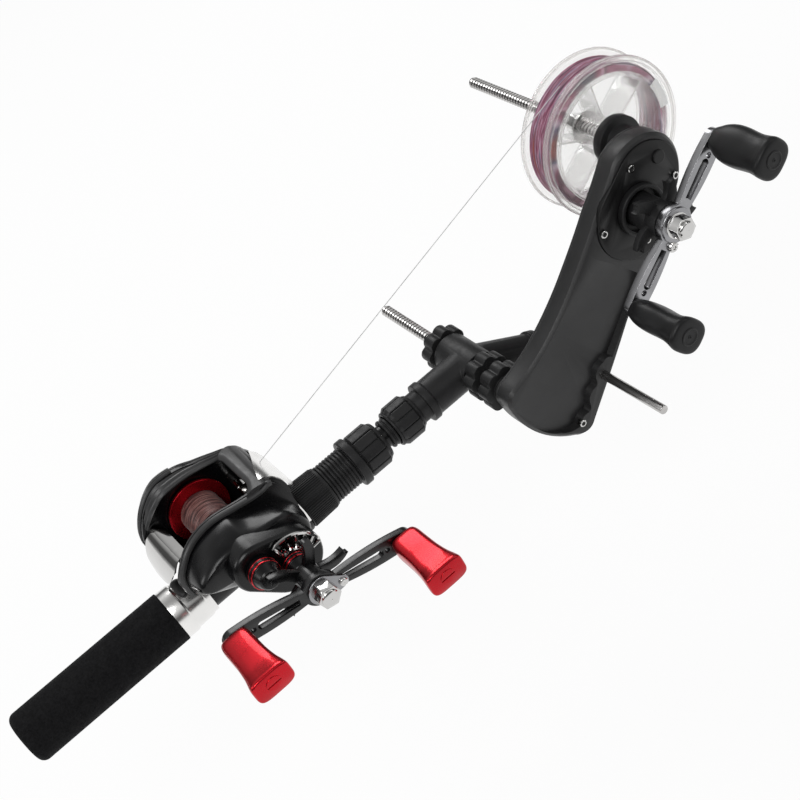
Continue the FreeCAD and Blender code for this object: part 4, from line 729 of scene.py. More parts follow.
class WINDER_OT_stage(bpy.types.Operator):
    """Camera, pale floor, studio lights and world"""
    bl_idname = "winder.stage"
    bl_label = "Stage"

    def execute(self, context):
        scene = context.scene
        scene.view_settings.view_transform = "Standard"
        self.camera(scene)
        self.floor()
        self.lights(scene)
        self.world(scene)
        return {"FINISHED"}

    def camera(self, scene):
        """A long lens, in front of the winder and above it."""
        camera = bpy.data.objects.new("camera", bpy.data.cameras.new("camera"))
        camera.data.sensor_width = 36.0
        camera.data.lens = 71.288
        camera.data.clip_start, camera.data.clip_end = 0.05, 20.0
        right = (0.7472316, -0.5300866, -0.4008157)
        down = (-0.6317768, -0.3795172, -0.6758882)
        ahead = (0.2061628, 0.7582710, -0.6184836)
        turn_to = Matrix((right, [-d for d in down], [-a for a in ahead])).transposed()
        camera.matrix_world = Matrix.Translation((0.0764536, -0.5720787, 0.4772553)) @ turn_to.to_4x4()
        scene.collection.objects.link(camera)
        scene.camera = camera

    def floor(self):
        """A square floor, so wide that the camera sees none of its rim."""
        bm = bmesh.new()
        half, z = 6000.0, CAD_BOX[0].z / MM - sizes().floor_drop
        corners = ((-half, -half), (half, -half), (half, half), (-half, half))
        bm.faces.new([bm.verts.new((x, y, z)) for x, y in corners])
        new_piece("floor", bm, "floor_white")

    def lights(self, scene):
        """Square lamps round the winder: name, place from its middle, size and power, in metres and watts."""
        centre = (CAD_BOX[0] + CAD_BOX[1]) / 2
        for name, spot, size, power in (
                ("key", (-0.55, -0.65, 1.05), 0.6, 6.0), ("fill", (0.95, -0.75, 0.55), 0.6, 1.6),
                ("back", (0.35, 0.95, 0.85), 0.6, 5.0), ("side", (-1.0, 0.35, 0.6), 0.4, 2.0)):
            lamp = bpy.data.lights.new(name, "AREA")
            lamp.size, lamp.energy = size, power
            light = bpy.data.objects.new(name, lamp)
            light.location = centre + Vector(spot)
            light.rotation_mode = "QUATERNION"
            light.rotation_quaternion = Vector(spot).to_track_quat("Z", "Y")
            scene.collection.objects.link(light)

    def world(self, scene):
        """A sky of grey bands by height, which is plain white to the camera and through clear parts."""
        scene.world = bpy.data.worlds.new("studio")
        scene.world.use_nodes = True
        tree = scene.world.node_tree
        greys = ((0.0, 0.8), (0.49, 0.6), (0.54, 0.08), (0.66, 0.1), (0.78, 0.5), (0.86, 0.75), (1.0, 0.3))
        view = add_node(tree, "ShaderNodeTexCoord", {}, "Generated")
        up = add_node(tree, "ShaderNodeSeparateXYZ", {0: view}, "Z")
        height = add_node(tree, "ShaderNodeMapRange", {"Value": up, "From Min": -1.0}, "Result")
        bands = ramp(tree, height, [(place, (grey, grey, grey)) for place, grey in greys])
        seen = seen_by(tree, "Camera", "Transmission")
        mix = add_node(tree, "ShaderNodeMix", {"Factor": seen, "A": bands, "B": (1, 1, 1, 1)}, "Result",
                       data_type="RGBA")
        feed(tree, tree.nodes["Background"], {"Color": mix})


class WINDER_OT_grip(bpy.types.Operator):
    """Foam grip, its bright collar and the reel seat"""
    bl_idname = "winder.grip"
    bl_label = "Grip and seat"

    ring_zone = (179.3, 194.2)

    def execute(self, context):
        grip = frame["nodes"]["eva_grip"]
        wear(grip.data, "grip_foam")
        start, end = ends("rear_hood", 0)
        bore = 10.02
        collar = turned("rear_collar", [
            (start + 0.05, bore), (start + 0.05, 12.9), (start + 6.4, 12.9), (start + 7.0, 12.25),
            (end - 3.2, 12.0), (end - 2.6, 11.4), (end, 11.4), (end, bore)],
            "satin_chrome", "X", ease=0.35, steps=96)
        settle(collar, "handle", "chrome", "rear_hood")
        self.bump()
        softened("seat_tube", "reel_seat", 0.3, "handle", "black_plastic", shape=self.waist)
        self.rings()
        return {"FINISHED"}

    def bump(self):
        """A raised ridge that follows the collar over the reel's foot."""
        along, radius = 95.9, 12.1
        section = ((-1, -0.5), (-1, 0.3), (-0.75, 0.8), (-0.3, 1), (0.3, 1), (0.75, 0.8), (1, 0.3), (1, -0.5))
        rings = []
        for k in range(25):
            t = k / 12 - 1
            angle = math.radians(95 + 33 * t)
            full = math.sqrt(max(0.02, 1 - abs(t) ** 5))
            wide, tall = 2.5 * full, 1.1 * full
            rings.append([(along + wide * u, (radius + tall * v) * math.cos(angle),
                           (radius + tall * v) * math.sin(angle)) for u, v in section])
        settle(skinned("hood_bump", rings, "black_plastic", 50), "handle", "black_plastic")

    def waist(self, bm):
        """Narrow the seat tube under the grooved rings, but leave its bore."""
        low, high = self.ring_zone
        bore, share = 9.5, 0.91
        for place in (low - 0.1, low, high, high + 0.1):
            bmesh.ops.bisect_plane(bm, geom=bm.verts[:] + bm.edges[:] + bm.faces[:], dist=1e-7,
                                   plane_co=(place * MM, 0, 0), plane_no=(1, 0, 0))
        for vert in bm.verts:
            if low - 0.05 < vert.co.x / MM < high + 0.05 and math.hypot(vert.co.y, vert.co.z) > bore * MM:
                vert.co.y *= share
                vert.co.z *= share

    def rings(self):
        """Grooved rings between the hood nut and the large collet nut."""
        low, high = self.ring_zone
        count = sizes().seat_rings
        pitch = (high - low) / count
        width, inner, outer = pitch * 0.7, 9.0, 10.3
        unit = turned("ring_unit", [(0.1, inner), (0.1, outer), (width, outer), (width, inner)],
                      "black_plastic", "X")
        base = new_piece("seat_rings", bmesh.new(), "black_plastic")
        repeated(base, unit, count, "black_plastic", step=(pitch, 0, 0), centre=(low, 0, 0))
        settle(base, "handle", "black_plastic")


class WINDER_OT_nuts(bpy.types.Operator):
    """Hood nut, front hood, the two collet nuts of the handle, and the sliding tube with its stop"""
    bl_idname = "winder.nuts"
    bl_label = "Seat nuts"

    def execute(self, context):
        softened("front_hood_ring", "front_hood", 0.8, "front_hood", "black_plastic")
        self.hood_nut()
        self.collet("large_nut", "collet_nut_large", 11.8, 10.05, 4.5, 12.8)
        self.collet("small_nut", "collet_nut_small", 11.0, 8.25, 1.6, 9.7)
        stop = turned("tube_stop", [
            (216.6, 6.02), (216.6, 7.2), (217.1, 7.7), (218.1, 7.7), (218.4, 7.0), (218.9, 7.0), (219.2, 7.7),
            (220.5, 7.7), (220.5, 6.02)], "black_plastic", "X", ease=0.25)
        settle(stop, "bracket", "black_plastic")
        softened("sliding_tube", "extension_tube", 0.3, "bracket", "black_plastic", "gloss_black")
        return {"FINISHED"}

    def hood_nut(self):
        """A tapered nut with fine ribs all round."""
        start, end = ends("hood_nut", 0)
        bore, throat = 10.06, 10.42
        base = turned("hood_nut_ribbed", [
            (start, bore), (start, 11.5), (end - 1.0, 11.0), (end, 10.8), (end, throat), (start + 1, throat),
            (start + 1, bore)], "black_plastic", "X", ease=0.1, steps=96)
        count = sizes().hood_ribs
        half = FULL * 11.5 / count * 0.3
        rings = []
        for along, radius in (
                (start + 0.3, 11.2), (start + 0.8, 11.9), (end - 1.6, 11.35), (end - 0.9, 10.9)):
            rings.append([(along, -half, radius - 0.5), (along, -half * 0.5, radius),
                          (along, half * 0.5, radius), (along, half, radius - 0.5)])
        unit = skinned("rib_unit", rings, "black_plastic")
        repeated(base, unit, count, "black_plastic", turn=(360 / count, 0, 0))
        settle(base, "hood_nut", "black_plastic", "hood_nut")

    def collet(self, body, node, radius, bore, ring, ring_radius):
        """A nut with flat flutes between a ring and a nose."""
        start, end = ends(node, 0)
        core, nose, throat = radius - 0.9, end - 3.4, min(bore, 7.9)
        base = turned(body + "_fluted", [
            (start, bore), (start, ring_radius - 0.4), (start + 0.5, ring_radius),
            (start + ring - 0.5, ring_radius), (start + ring, ring_radius - 0.5), (start + ring + 0.4, core),
            (nose, core), (end - 0.9, core - 0.9), (end, core - 1.4), (end, throat), (end - 4, throat),
            (end - 4, bore)], "black_plastic", "X", ease=0.35, steps=96)
        count = sizes().flutes
        half = math.pi * radius / count * 0.86
        rings = []
        for along, height in (
                (start + ring - 0.2, core - 0.4), (start + ring + 1.5, radius), (nose + 0.4, radius),
                (end - 1.2, core - 1.2)):
            rise = math.sqrt(max(height ** 2 - half ** 2, 0.1))
            sides = ((1.0, core * 0.9), (1.0, rise - 0.25), (0.86, rise))
            rings.append([(along, -half * share, up) for share, up in sides] + [(along, 0, height - 0.02)]
                         + [(along, half * share, up) for share, up in reversed(sides)])
        unit = skinned("flute_unit", rings, "black_plastic")
        repeated(base, unit, count, "black_plastic", turn=(360 / count, 0, 0), angle=25.0)
        settle(base, body, "black_plastic", node)


class WINDER_OT_bracket(bpy.types.Operator):
    """Bracket, cross bolt and star nuts"""
    bl_idname = "winder.bracket"
    bl_label = "Bracket and bolt"

    def execute(self, context):
        edge = sizes().edge
        softened("bracket_body", "bracket", edge, "bracket", "black_plastic", segments=3)
        for letter in "abc":
            softened(f"lobed_nut_{letter}", f"star_nut_{letter}", 0.8, f"star_nut_{letter}", "black_plastic",
                     segments=3, angle=28)
        threaded("threaded_cross_bolt", "cross_bolt", PIVOT, "arm")
        return {"FINISHED"}


def threaded(name, node, spot, body):
    """A rod along Y whose whole length is threaded, with a chamfer at its free end."""
    low, high = ends(node, 1)
    pitch, depth = sizes().thread_pitch, sizes().thread_depth
    radius = 2.98
    core, flank = radius - depth, pitch * 0.32
    # the core is a darker copy of the threads' steel: painted shade in the thread roots
    rod = turned(name + "_core", [
        (low, 0.02), (low, core), (high - 0.5, core), (high, core - 0.5), (high, 0.02)], "dark_steel",
        spot=across(spot), ease=0.1, steps=32)
    settle(rod, body, "steel")
    length = high - low - 2 * flank - 0.1
    thread = new_piece(name, bmesh.new(), "steel")
    coiled(thread, "steel", length / pitch, radius - flank, length, flank,
           (spot[0], low + flank + 0.05, spot[2]), 4, 32)
    settle(thread, body, "steel", node)


class WINDER_OT_gear_case(bpy.types.Operator):
    """Gear case, its cover plate, collar, screws and guide pin"""
    bl_idname = "winder.gear_case"
    bl_label = "Gear case"

    def execute(self, context):
        softened("case_shell_back", "case_back", 0.5, "arm", "case_black", segments=3)
        softened("case_shell_front", "case_front", 1.0, "arm", "case_black", segments=3, angle=24)
        softened("cover_plate_soft", "cover_plate", 0.35, "arm", "case_black", "cover_black")
        softened("collar_soft", "crank_collar", 0.5, "arm", "black_plastic")
        softened("guide_pin_soft", "guide_pin", 0.4, "arm", "steel")
        self.screws()
        return {"FINISHED"}

    def screws(self):
        """Bright ring heads on the CAD screws' places, with black fills in their sockets as painted shade."""
        place = hub_frame(PIVOT, ARM_TILT)
        spots = [(*place(along, up), -48.15) for along, up in (
            (115.0, 11.6), (123.2, -14.8), (83.7, 7.1), (91.5, -19.0))]
        spots.append((*place(0.9, -41.1), -46.75))
        head = [(0.9, 1.05), (0.9, 1.85), (-0.1, 1.85), (-0.35, 1.6), (-0.35, 1.15), (-0.1, 1.05)]
        socket = [(0.9, 0.03), (0.9, 1.08), (0.25, 1.08), (0.25, 0.5), (0.1, 0.4), (0.1, 0.03)]
        for name, finish, profile, replaced in (
                ("case_screw_heads", "chrome", head, ["case_screws"]),
                # the black fill stands for the shade in each screw's socket
                ("case_screw_sockets", "black_plastic", socket, [])):
            bm = bmesh.new()
            for x, z, y in spots:
                bm.verts.new((x, y, z))
            base = new_piece(name, bm, finish)
            run_tree(base, "scatter", finish, Unit=turned("screw_unit", profile, finish, ease=0, steps=24))
            settle(base, "arm", "steel", *replaced)


class WINDER_OT_crank(bpy.types.Operator):
    """Crank arm, its star wheel, nut and rubber knobs"""
    bl_idname = "winder.crank"
    bl_label = "Crank"

    stations = [(0.0, 5.2, 4.7), (0.05, 6.0, 5.2), (0.16, 7.9, 6.1), (0.3, 9.1, 6.7), (0.45, 9.3, 6.8),
                (0.6, 8.9, 6.6), (0.72, 8.7, 6.7), (0.82, 9.0, 7.2), (0.9, 9.4, 7.9), (0.94, 9.5, 8.2),
                (0.975, 9.0, 7.9), (0.993, 8.0, 7.0), (1.0, 6.6, 5.8)]

    def execute(self, context):
        edge = sizes().metal_edge
        softened("crank_arm_polished", "crank_arm", 0.5, "crank", "chrome", "alloy", segments=3)
        softened("crank_neck", "crank_shaft", 0.4, "crank", "black_plastic")
        softened("wheel_winged", "star_wheel", 0.7, "star_wheel", "black_plastic", segments=3)
        softened("crank_nut_bright", "crank_nut", edge, "crank", "chrome")
        place = hub_frame(CRANK, CRANK_TILT)
        face = -72.4
        for name, profile, finish, spot, ease, steps in (
                ("crank_washer", [(-73.6, 4.1), (-73.6, 8.1), (-73.2, 8.5), (-72.5, 8.5), (-72.5, 4.1)],
                 "alloy", across(CRANK), 0.25, 72),
                ("crank_tip", [(-78.6, 0.02), (-78.6, 4.1), (-80.3, 4.1), (-80.9, 3.4), (-81.2, 0.02)],
                 "chrome", across(CRANK), 0.3, 72),
                ("crank_retainer", [(face, 0.05), (face, 2.6), (face - 1.2, 2.6), (face - 2.2, 1.9),
                                    (face - 2.2, 1.0), (face - 1.4, 0.9), (face - 1.4, 0.05)],
                 "chrome", place(-9.6, -3.4), 0.3, 32)):
            settle(turned(name, profile, finish, spot=spot, ease=ease, steps=steps), "crank", "chrome")
        self.knobs(place)
        return {"FINISHED"}

    def knobs(self, place):
        """A squarish rubber knob with a cap on each end of the crank."""
        low, high = ends("crank_knob_a", 1)
        low += 0.45
        for letter, sign in (("a", 1), ("b", -1)):
            body = f"crank_knob_{letter}"
            spot = place(sign * CRANK_REACH, 0)
            tilt = CRANK_TILT + (90 if letter == "b" else 0)
            knob = hand_knob(f"rubber_knob_{letter}", spot, high, low, self.stations, tilt, "knob_rubber",
                             2.7)
            settle(knob, body, "knob_rubber", body)
            knob_cap(f"knob_cap_{letter}", spot, low, body)


def hand_knob(name, spot, near, far, stations, tilt, finish, power):
    """A knob along Y through stations of share, half width and half thickness; a high power squares it."""
    c, s = math.cos(math.radians(tilt)), math.sin(math.radians(tilt))
    sides = 56
    rings = []
    for share, wide, thick in flowing(stations, 5):
        ring = []
        for k in range(sides):
            east, up = math.cos(FULL * k / sides), math.sin(FULL * k / sides)
            x = wide * math.copysign(abs(east) ** (2 / power), east)
            z = thick * math.copysign(abs(up) ** (2 / power), up)
            ring.append((spot[0] + x * c - z * s, near + (far - near) * share, spot[1] + x * s + z * c))
        rings.append(ring)
    return skinned(name, rings, finish, 50.0)


def knob_cap(name, spot, face, body):
    """A round cap in a knob's end, with a groove round it and a centre screw."""
    radius = 4.3
    cap = turned(name, [
        (face + 0.4, 0.02), (face + 0.4, radius), (face - 0.25, radius), (face - 0.45, radius - 0.3),
        (face - 0.45, radius - 0.8), (face - 0.1, radius - 1.1), (face - 0.1, 1.0), (face - 0.35, 0.9),
        (face - 0.35, 0.5), (face, 0.4), (face, 0.02)], "black_plastic", spot=spot, ease=0.05, steps=48)
    settle(cap, body, "knob_rubber")


class WINDER_OT_line_spool(bpy.types.Operator):
    """Spindle, clear spool, wound line, tag and nut"""
    bl_idname = "winder.line_spool"
    bl_label = "Line spool"

    def execute(self, context):
        spot = across(SPINDLE)
        threaded("threaded_spindle", "spindle_rod", SPINDLE, "spindle")
        softened("spindle_neck", "spindle_flange", 0.5, "spindle", "black_plastic")
        softened("clear_line_spool", "line_spool", 0.3, "spindle", "clear_spool")
        softened("spool_nut_bright", "spool_nut", 0.3, "spool_nut", "chrome")
        low, high = ends("line_winding", 1)
        winding = turned("wound_line", [
            (low + 0.05, 31.02), (low + 0.05, 34.4), (low + 3, 35.0), (high - 3, 35.0), (high - 0.05, 34.4),
            (high - 0.05, 31.02)], "spool_line", spot=spot, steps=96)
        wind_line(winding, "spool_line", low + 0.3, high - low - 0.6, 35.1, spot, 72)
        settle(winding, "spindle", "spool_line", "line_winding")
        self.rims(spot)
        self.tag(spot)
        return {"FINISHED"}

    def rims(self, spot):
        """Whitish beads round the flanges, the drum's mouth and along the webs: painted highlights on the
        spool's edges.
        """
        near, far = ends("line_spool", 1)
        bm = bmesh.new()
        for y, radius, width in (
                (near + 0.6, 38.42, 0.55), (near + 0.15, 36.4, 0.35), (near + 0.1, 31.2, 0.5),
                (near + 2.4, 38.5, 0.4), (far - 0.6, 38.42, 0.55), (far - 2.4, 38.5, 0.4),
                (far - 0.1, 31.2, 0.4)):
            bead = [(y + width * math.cos(a), radius + width * math.sin(a))
                    for a in (FULL * k / 8 for k in range(8))]
            turn(bm, bead, "Y", spot, 120)
        for k in range(SPOOL_RIBS):
            a = math.radians(ARM_TILT + 360 * k / SPOOL_RIBS)
            c, s = math.cos(a), math.sin(a)
            rib = [(spot[0] + r * c, near + 2.0, spot[1] + r * s) for r in (8.0, 19.0, 30.0)]
            wire(bm, rib, 0.42, 6)
        # the beads' whitish finish is a painted highlight
        settle(new_piece("spool_rims", bm, "clear_rim", 60), "spindle", "clear_spool")

    def tag(self, spot):
        """A blank tag on the near flange."""
        near, inner, outer = ends("line_spool", 1)[0] - 0.08, 29.8, 34.6
        tag = turned("spool_tag", [(near, inner), (near, outer), (near - 0.15, outer), (near - 0.15, inner)],
                     "white_tag", spot=spot, ease=0.05, steps=14, arc=(math.radians(-8), math.radians(27)))
        settle(tag, "spindle", "clear_spool")


class WINDER_OT_reel_body(bpy.types.Operator):
    """The casting reel's frame, covers, front bar, trims and thumb bar"""
    bl_idname = "winder.reel_body"
    bl_label = "Reel body"

    palm = [(-22.0, -17.4), (30.0, -17.4, -1.8), (35.2, -5.0, -1.6), (27.2, 8.8, -1.2), (4.0, 24.0, -1.0),
            (-11.0, 24.6, -2.2), (-28.0, 7.0, -0.8), (-28.6, -2.0, -1.0)]
    gear_side = [(-10.0, -17.4), (2.0, -17.4), (28.0, -17.4, -1.5), (33.8, -8.0, -0.8), (30.6, -1.0, -0.4),
                 (20.5, 7.6, 1.4), (4.0, 15.0, -1.2), (-15.0, 12.8, -1.0), (-27.4, 1.5, -0.3),
                 (-28.2, -9.0, -0.8)]
    gear_end = [(-13.5, -3.6), (-3.0, -13.0), (24.0, -16.6, -1.2), (31.4, -8.0, -0.6), (29.4, 3.0, -0.8),
                (24.0, 8.6, 0.5), (-2.0, 11.6, -1.0), (-16.0, 10.0, -0.8), (-25.0, 5.5, -0.6),
                (-26.2, 0.5, -0.6)]
    lip = [(29.6, 12.0, 1.8), (27.4, 12.8, 2.7), (23.6, 12.3, 3.1), (17.4, 12.8, 2.7), (9.5, 14.4, 2.4),
           (1.2, 16.2, 2.3), (-5.0, 16.6, 2.2), (-11.0, 15.6, 2.2), (-16.4, 13.4, 2.2), (-21.6, 9.6, 2.2),
           (-28.4, 1.6, 2.1), (-29.0, -4.0, 2.0), (-28.8, -9.2, 1.8)]
    hood = [(31.0, 9.2, 0.8, 18.7), (26.5, 13.6, 1.5, 18.2), (20.5, 16.4, 2.6, 17.2), (12.0, 20.2, 3.6, 16.0),
            (4.0, 23.0, 4.4, 15.2), (-4.0, 24.4, 5.0, 14.6), (-11.0, 24.2, 5.2, 14.4),
            (-17.5, 20.4, 4.6, 14.9), (-22.8, 14.6, 3.3, 16.2), (-26.6, 8.0, 1.7, 18.0),
            (-28.4, 0.0, 1.4, 18.2)]

    def ring(self, outline, y, inset):
        """An outline round the spool's axis, at a place on Y and pulled in all round."""
        made = []
        for x, z in outline:
            share = 1 - inset / math.hypot(x, z)
            made.append((REEL[0] + x * share, y, REEL[2] + z * share))
        return made

    def execute(self, context):
        softened("reel_frame_soft", "reel_frame", 0.9, "handle", "frame_black", "gloss_black", segments=3,
                 angle=28)
        palm = rounded_ring(by_angle(curved(self.palm)), 3)
        profile = [(18.6, 0.3), (19.4, 0.1), (20.4, 0.3), (21.5, 0.9), (22.5, 2.0), (23.3, 3.7), (23.8, 6.0),
                   (24.1, 9.5), (24.2, 14.0)]
        dome = skinned("palm_dome", [self.ring(palm, y, inset) for y, inset in profile], "gloss_black")
        settle(dome, "handle", "gloss_black", "palm_cover")
        self.ridges(palm)
        self.gear_cover()
        self.front_bar()
        self.ornament()
        self.thumb_bar()
        self.nose()
        cap = self.barrel("shaft_cap_ringed", DRIVE, -46.0, 6.8, 4.8, 10.4, 3.35)
        settle(cap, "handle", "gloss_black", "shaft_cap")
        knob = self.barrel("tension_knob_ringed", REEL, -46.3, 7.2, 5.2, 10.6, 0.02)
        settle(knob, "tension_knob", "gloss_black", "tension_knob")
        for name, hub, places, radius, body in (
                ("shaft_cap_rings", DRIVE, (-49.2, -51.6), 6.9, "handle"),
                ("tension_rings", REEL, (-49.4, -52.0), 7.3, "tension_knob")):
            bm = bmesh.new()
            for place in places:
                turn(bm, eased([(place + 0.9, radius - 1.2), (place + 0.9, radius), (place, radius),
                                (place, radius - 1.2)], 0.3), "Y", across(hub), 48)
            settle(new_piece(name, bm, "red_ring"), body, "red_anodised")
        return {"FINISHED"}

    def ridges(self, palm):
        """Raised ridges that sweep along the palm side's rim."""
        bm = bmesh.new()
        count = len(palm)
        first, last = int(count * 0.26), int(count * 0.5)
        for start, end, inset_start, inset_end, wide in (
                (23.2, 20.6, 4.2, 0.6, 0.9), (22.6, 19.2, 2.0, -0.1, 0.9), (21.2, 17.9, 0.5, -0.4, 0.9),
                (19.4, 16.8, -0.1, -0.4, 0.8)):
            path = []
            for i in range(first, last + 1):
                t = (last - i) / (last - first)
                y = start + (end - start) * t ** 1.5
                inset = inset_start + (inset_end - inset_start) * min(1.0, t * 1.3)
                path += self.ring([palm[i]], y, inset)
            wire(bm, path, wide)
        settle(new_piece("palm_ridges", bm, "frame_black"), "handle", "gloss_black")

    def gear_cover(self):
        """The gear side's cover, which narrows outwards, and the raised boss of its two shafts."""
        wide = rounded_ring(by_angle(curved(self.gear_side)))
        narrow = rounded_ring(by_angle(curved(self.gear_end)))
        bm = bmesh.new()
        rings = []
        for y, share, inset in ((-19.9, 0.0, 0.6), (-21.0, 0.0, 0.6), (-24.0, 0.1, 0.2), (-28.0, 0.32, 0.0),
                                (-32.0, 0.6, 0.1), (-35.0, 0.82, 0.3), (-36.8, 0.96, 0.9), (-37.7, 1.0, 1.9),
                                (-38.0, 1.0, 3.4)):
            outline = [tuple(a + (b - a) * share for a, b in zip(*pair)) for pair in zip(wide, narrow)]
            rings.append(self.ring(outline, y, inset))
        skin(bm, rings)
        boss = hull(across(DRIVE), 16.0, across(REEL), 12.0, 96)
        cx, cz = average(boss)
        rings = []
        for y, inset in ((-33.0, 0.2), (-44.0, 0.0), (-45.1, 0.35), (-45.8, 1.1), (-46.0, 2.4)):
            rings.append([(x + (cx - x) * inset / math.hypot(x - cx, z - cz), y,
                           z + (cz - z) * inset / math.hypot(x - cx, z - cz)) for x, z in boss])
        skin(bm, rings)
        settle(new_piece("gear_cover_smooth", bm, "gloss_black"), "handle", "gloss_black", "gear_cover")

    def front_bar(self):
        """The broad satin bar over the front of the opening; it spreads into the sides at its ends."""
        start, width = -19.4, 38.4
        rings = []
        for k in range(25):
            t = k / 24
            side = abs(2 * t - 1)
            spread = 4.5 * max(0.0, (side - 0.55) / 0.45) ** 2
            pull = 3.0 * (1 - t) ** 1.2
            lift = 0.7 * (1 - side ** 2)
            section = eased([
                (21.6 - spread, 12.8), (20.9 - spread, 14.7), (23.5 - spread * 0.6, 15.6),
                (28.0 - pull * 0.5, 14.5), (31.4 - pull, 11.6 + pull * 0.42),
                (33.2 - pull, 8.2 + pull * 0.5), (31.6 - pull, 8.0 + pull * 0.5),
                (27.0 - pull * 0.5, 10.9)], 1.2)
            rings.append([(REEL[0] + x, start + width * t, REEL[2] + z + lift) for x, z in section])
        settle(skinned("front_bar", rings, "frame_black"), "handle", "frame_black")
        self.band("side_lip", [(x, z, half, -19.6 + half * 0.6) for x, z, half in self.lip], (
            (-1.0, -1.3), (-1.0, -0.2), (-0.8, 0.5), (-0.4, 0.85), (-0.18, 0.85), (-0.1, 0.3), (0.1, 0.3),
            (0.18, 0.85), (0.55, 0.8), (0.9, 0.3), (1.0, -0.5), (1.0, -1.3)))
        self.band("palm_band", self.hood, (
            (-1.0, -1.9), (-1.0, -1.3), (-0.8, -0.5), (-0.62, -0.3), (-0.5, -1.1), (-0.26, 0.15),
            (-0.12, 0.2), (0.0, -0.7), (0.22, 0.45), (0.36, 0.5), (0.48, -0.4), (0.74, 0.6), (0.9, 0.5),
            (1.0, -0.2), (1.0, -1.9)))

    def band(self, name, stations, section):
        """A grooved band beside the opening, through stations of x, z, half width and place on Y."""
        rings = []
        path = flowing(stations)
        for i, (x, z, half, place) in enumerate(path):
            before, after = path[max(0, i - 1)], path[min(len(path) - 1, i + 1)]
            dx, dz = after[0] - before[0], after[1] - before[1]
            length = math.hypot(dx, dz)
            out = (-dz / length, dx / length)
            if out[0] * x + out[1] * z < 0:
                out = (-out[0], -out[1])
            rings.append([(REEL[0] + x + out[0] * rise, place + along * half, REEL[2] + z + out[1] * rise)
                          for along, rise in section])
        settle(skinned(name, rings, "frame_black", 24), "handle", "frame_black")

    def plate(self, name, stations, finish, body, *replaced):
        """A curved plate: at each place on Y, a row of (x, z) down its face and its thickness behind it."""
        rings = []
        for y, row, thick in stations:
            face = [(REEL[0] + x, y, REEL[2] + z) for x, z in row]
            back = [(REEL[0] + x + thick[0], y, REEL[2] + z + thick[1]) for x, z in reversed(row)]
            rings.append(face + back)
        settle(skinned(name, rings, finish, 40), body, "chrome", *replaced)

    def thumb_bar(self):
        """A bright plate, bent back and down, with round lower corners."""
        curve = flowing([(-20.0, 9.2), (-24.6, 8.6), (-29.2, 4.0), (-32.0, -2.0), (-33.0, -7.2)])
        reaches = flowing([(0.8,), (0.95,), (1.0,), (0.97,), (0.93,), (0.86,), (0.72,), (0.5,)], 4)
        stations = []
        for k, (reach,) in enumerate(reaches):
            y = 15.2 - 31.3 * k / (len(reaches) - 1)
            row = [self.down(curve, i / 20 * reach) for i in range(21)]
            bow = 0.8 * (1 - ((y + 0.45) / 15.8) ** 2)
            stations.append((y, [(x - bow * i / 20, z) for i, (x, z) in enumerate(row)], (1.5, 0.5)))
        self.plate("thumb_bar_plated", stations, "chrome", "thumb_bar", "thumb_bar")

    def down(self, curve, share):
        """A place along a curve of even steps."""
        spot = share * (len(curve) - 1)
        i = min(int(spot), len(curve) - 2)
        return tuple(a + (b - a) * (spot - i) for a, b in zip(curve[i], curve[i + 1]))

    def nose(self):
        """The bright plate in front of the bar, a small screw and a bright strip on the gear side."""
        curve = flowing([(26.0, 15.2), (28.9, 14.2), (31.9, 11.9), (34.2, 8.8), (36.2, 6.0), (37.6, 3.0),
                         (38.6, -1.0), (38.8, -5.5)], 4)
        stations = []
        for k in range(25):
            t = k / 24
            y = 12.5 - 29.0 * t
            nearest = min(12.5 - y, y + 16.5)
            first = 0.4 * (1 - t)
            last = 1.0 - 0.42 * max(0.0, 1 - nearest / 8.0) ** 2
            row = [self.down(curve, first + (last - first) * i / 18) for i in range(19)]
            stations.append((y, row, (-1.4, -0.6)))
        self.plate("nose_plated", stations, "satin_chrome", "handle", "nose_trim")
        row = flowing([(33.0, -4.5), (34.4, -10.0), (35.3, -17.0), (35.6, -24.0)], 5)
        self.plate("nose_strip", [(y, [(x - 0.06 * (y + 14.2) ** 2, z) for x, z in row], (-1.6, 0.0))
                                  for y in (-13.0, -13.6, -14.2, -14.8, -15.4)], "satin_chrome", "handle")
        screw = turned("nose_screw", [(-20.2, 0.03), (-21.8, 0.03), (-21.8, 1.0), (-21.3, 1.6), (-20.2, 1.6)],
                       "chrome", spot=(REEL[0] + 25.5, REEL[2] - 2.5), ease=0.3, steps=24)
        settle(screw, "handle", "chrome")

    def ornament(self):
        """Bright fan: a rim and slanted bars over a dark plate."""
        inner, outer, start, span = 7.6, 15.2, 5.0, 100.0

        def at(radius, angle):
            a = math.radians(angle)
            return DRIVE[0] + radius * math.cos(a), DRIVE[2] + radius * math.sin(a)
        steps = 20
        rim = [at(outer, start + span * k / steps) for k in range(steps + 1)]
        rim += [at(inner, start + span - span * k / steps) for k in range(steps + 1)]
        bm = bmesh.new()
        wire(bm, [(x, -47.5, z) for x, z in rim], 0.85, closed=True)
        for k in range(5):
            a = start + 6 + k * 19.5
            (x0, z0), (x1, z1) = at(inner, a), at(outer, a + 9)
            wire(bm, [(x0, -47.4, z0), ((x0 + x1) / 2, -47.9, (z0 + z1) / 2), (x1, -47.5, z1)], 0.95, 6)
        settle(new_piece("fan_rim", bm, "chrome"), "handle", "chrome", "side_ornament")
        plate = turned("fan_plate", [(-46.1, inner), (-46.1, outer), (-46.9, outer), (-46.9, inner)],
                       "gloss_black", spot=across(DRIVE), ease=0, steps=24,
                       arc=(math.radians(start), math.radians(span)))
        settle(plate, "handle", "gloss_black")

    def barrel(self, name, hub, face, radius, nose, height, bore):
        """A round knob or cap with a ring on its wide end and a narrower nose."""
        end, ring = face - height, face - height * 0.4
        return turned(name, [
            (end, bore), (end, nose - 0.9), (end + 1.0, nose), (ring - 1.6, radius - 0.8),
            (ring - 1.6, radius - 0.3), (ring, radius - 0.3), (ring, radius), (face, radius), (face, bore)],
            "gloss_black", spot=across(hub), ease=0.35, steps=64)


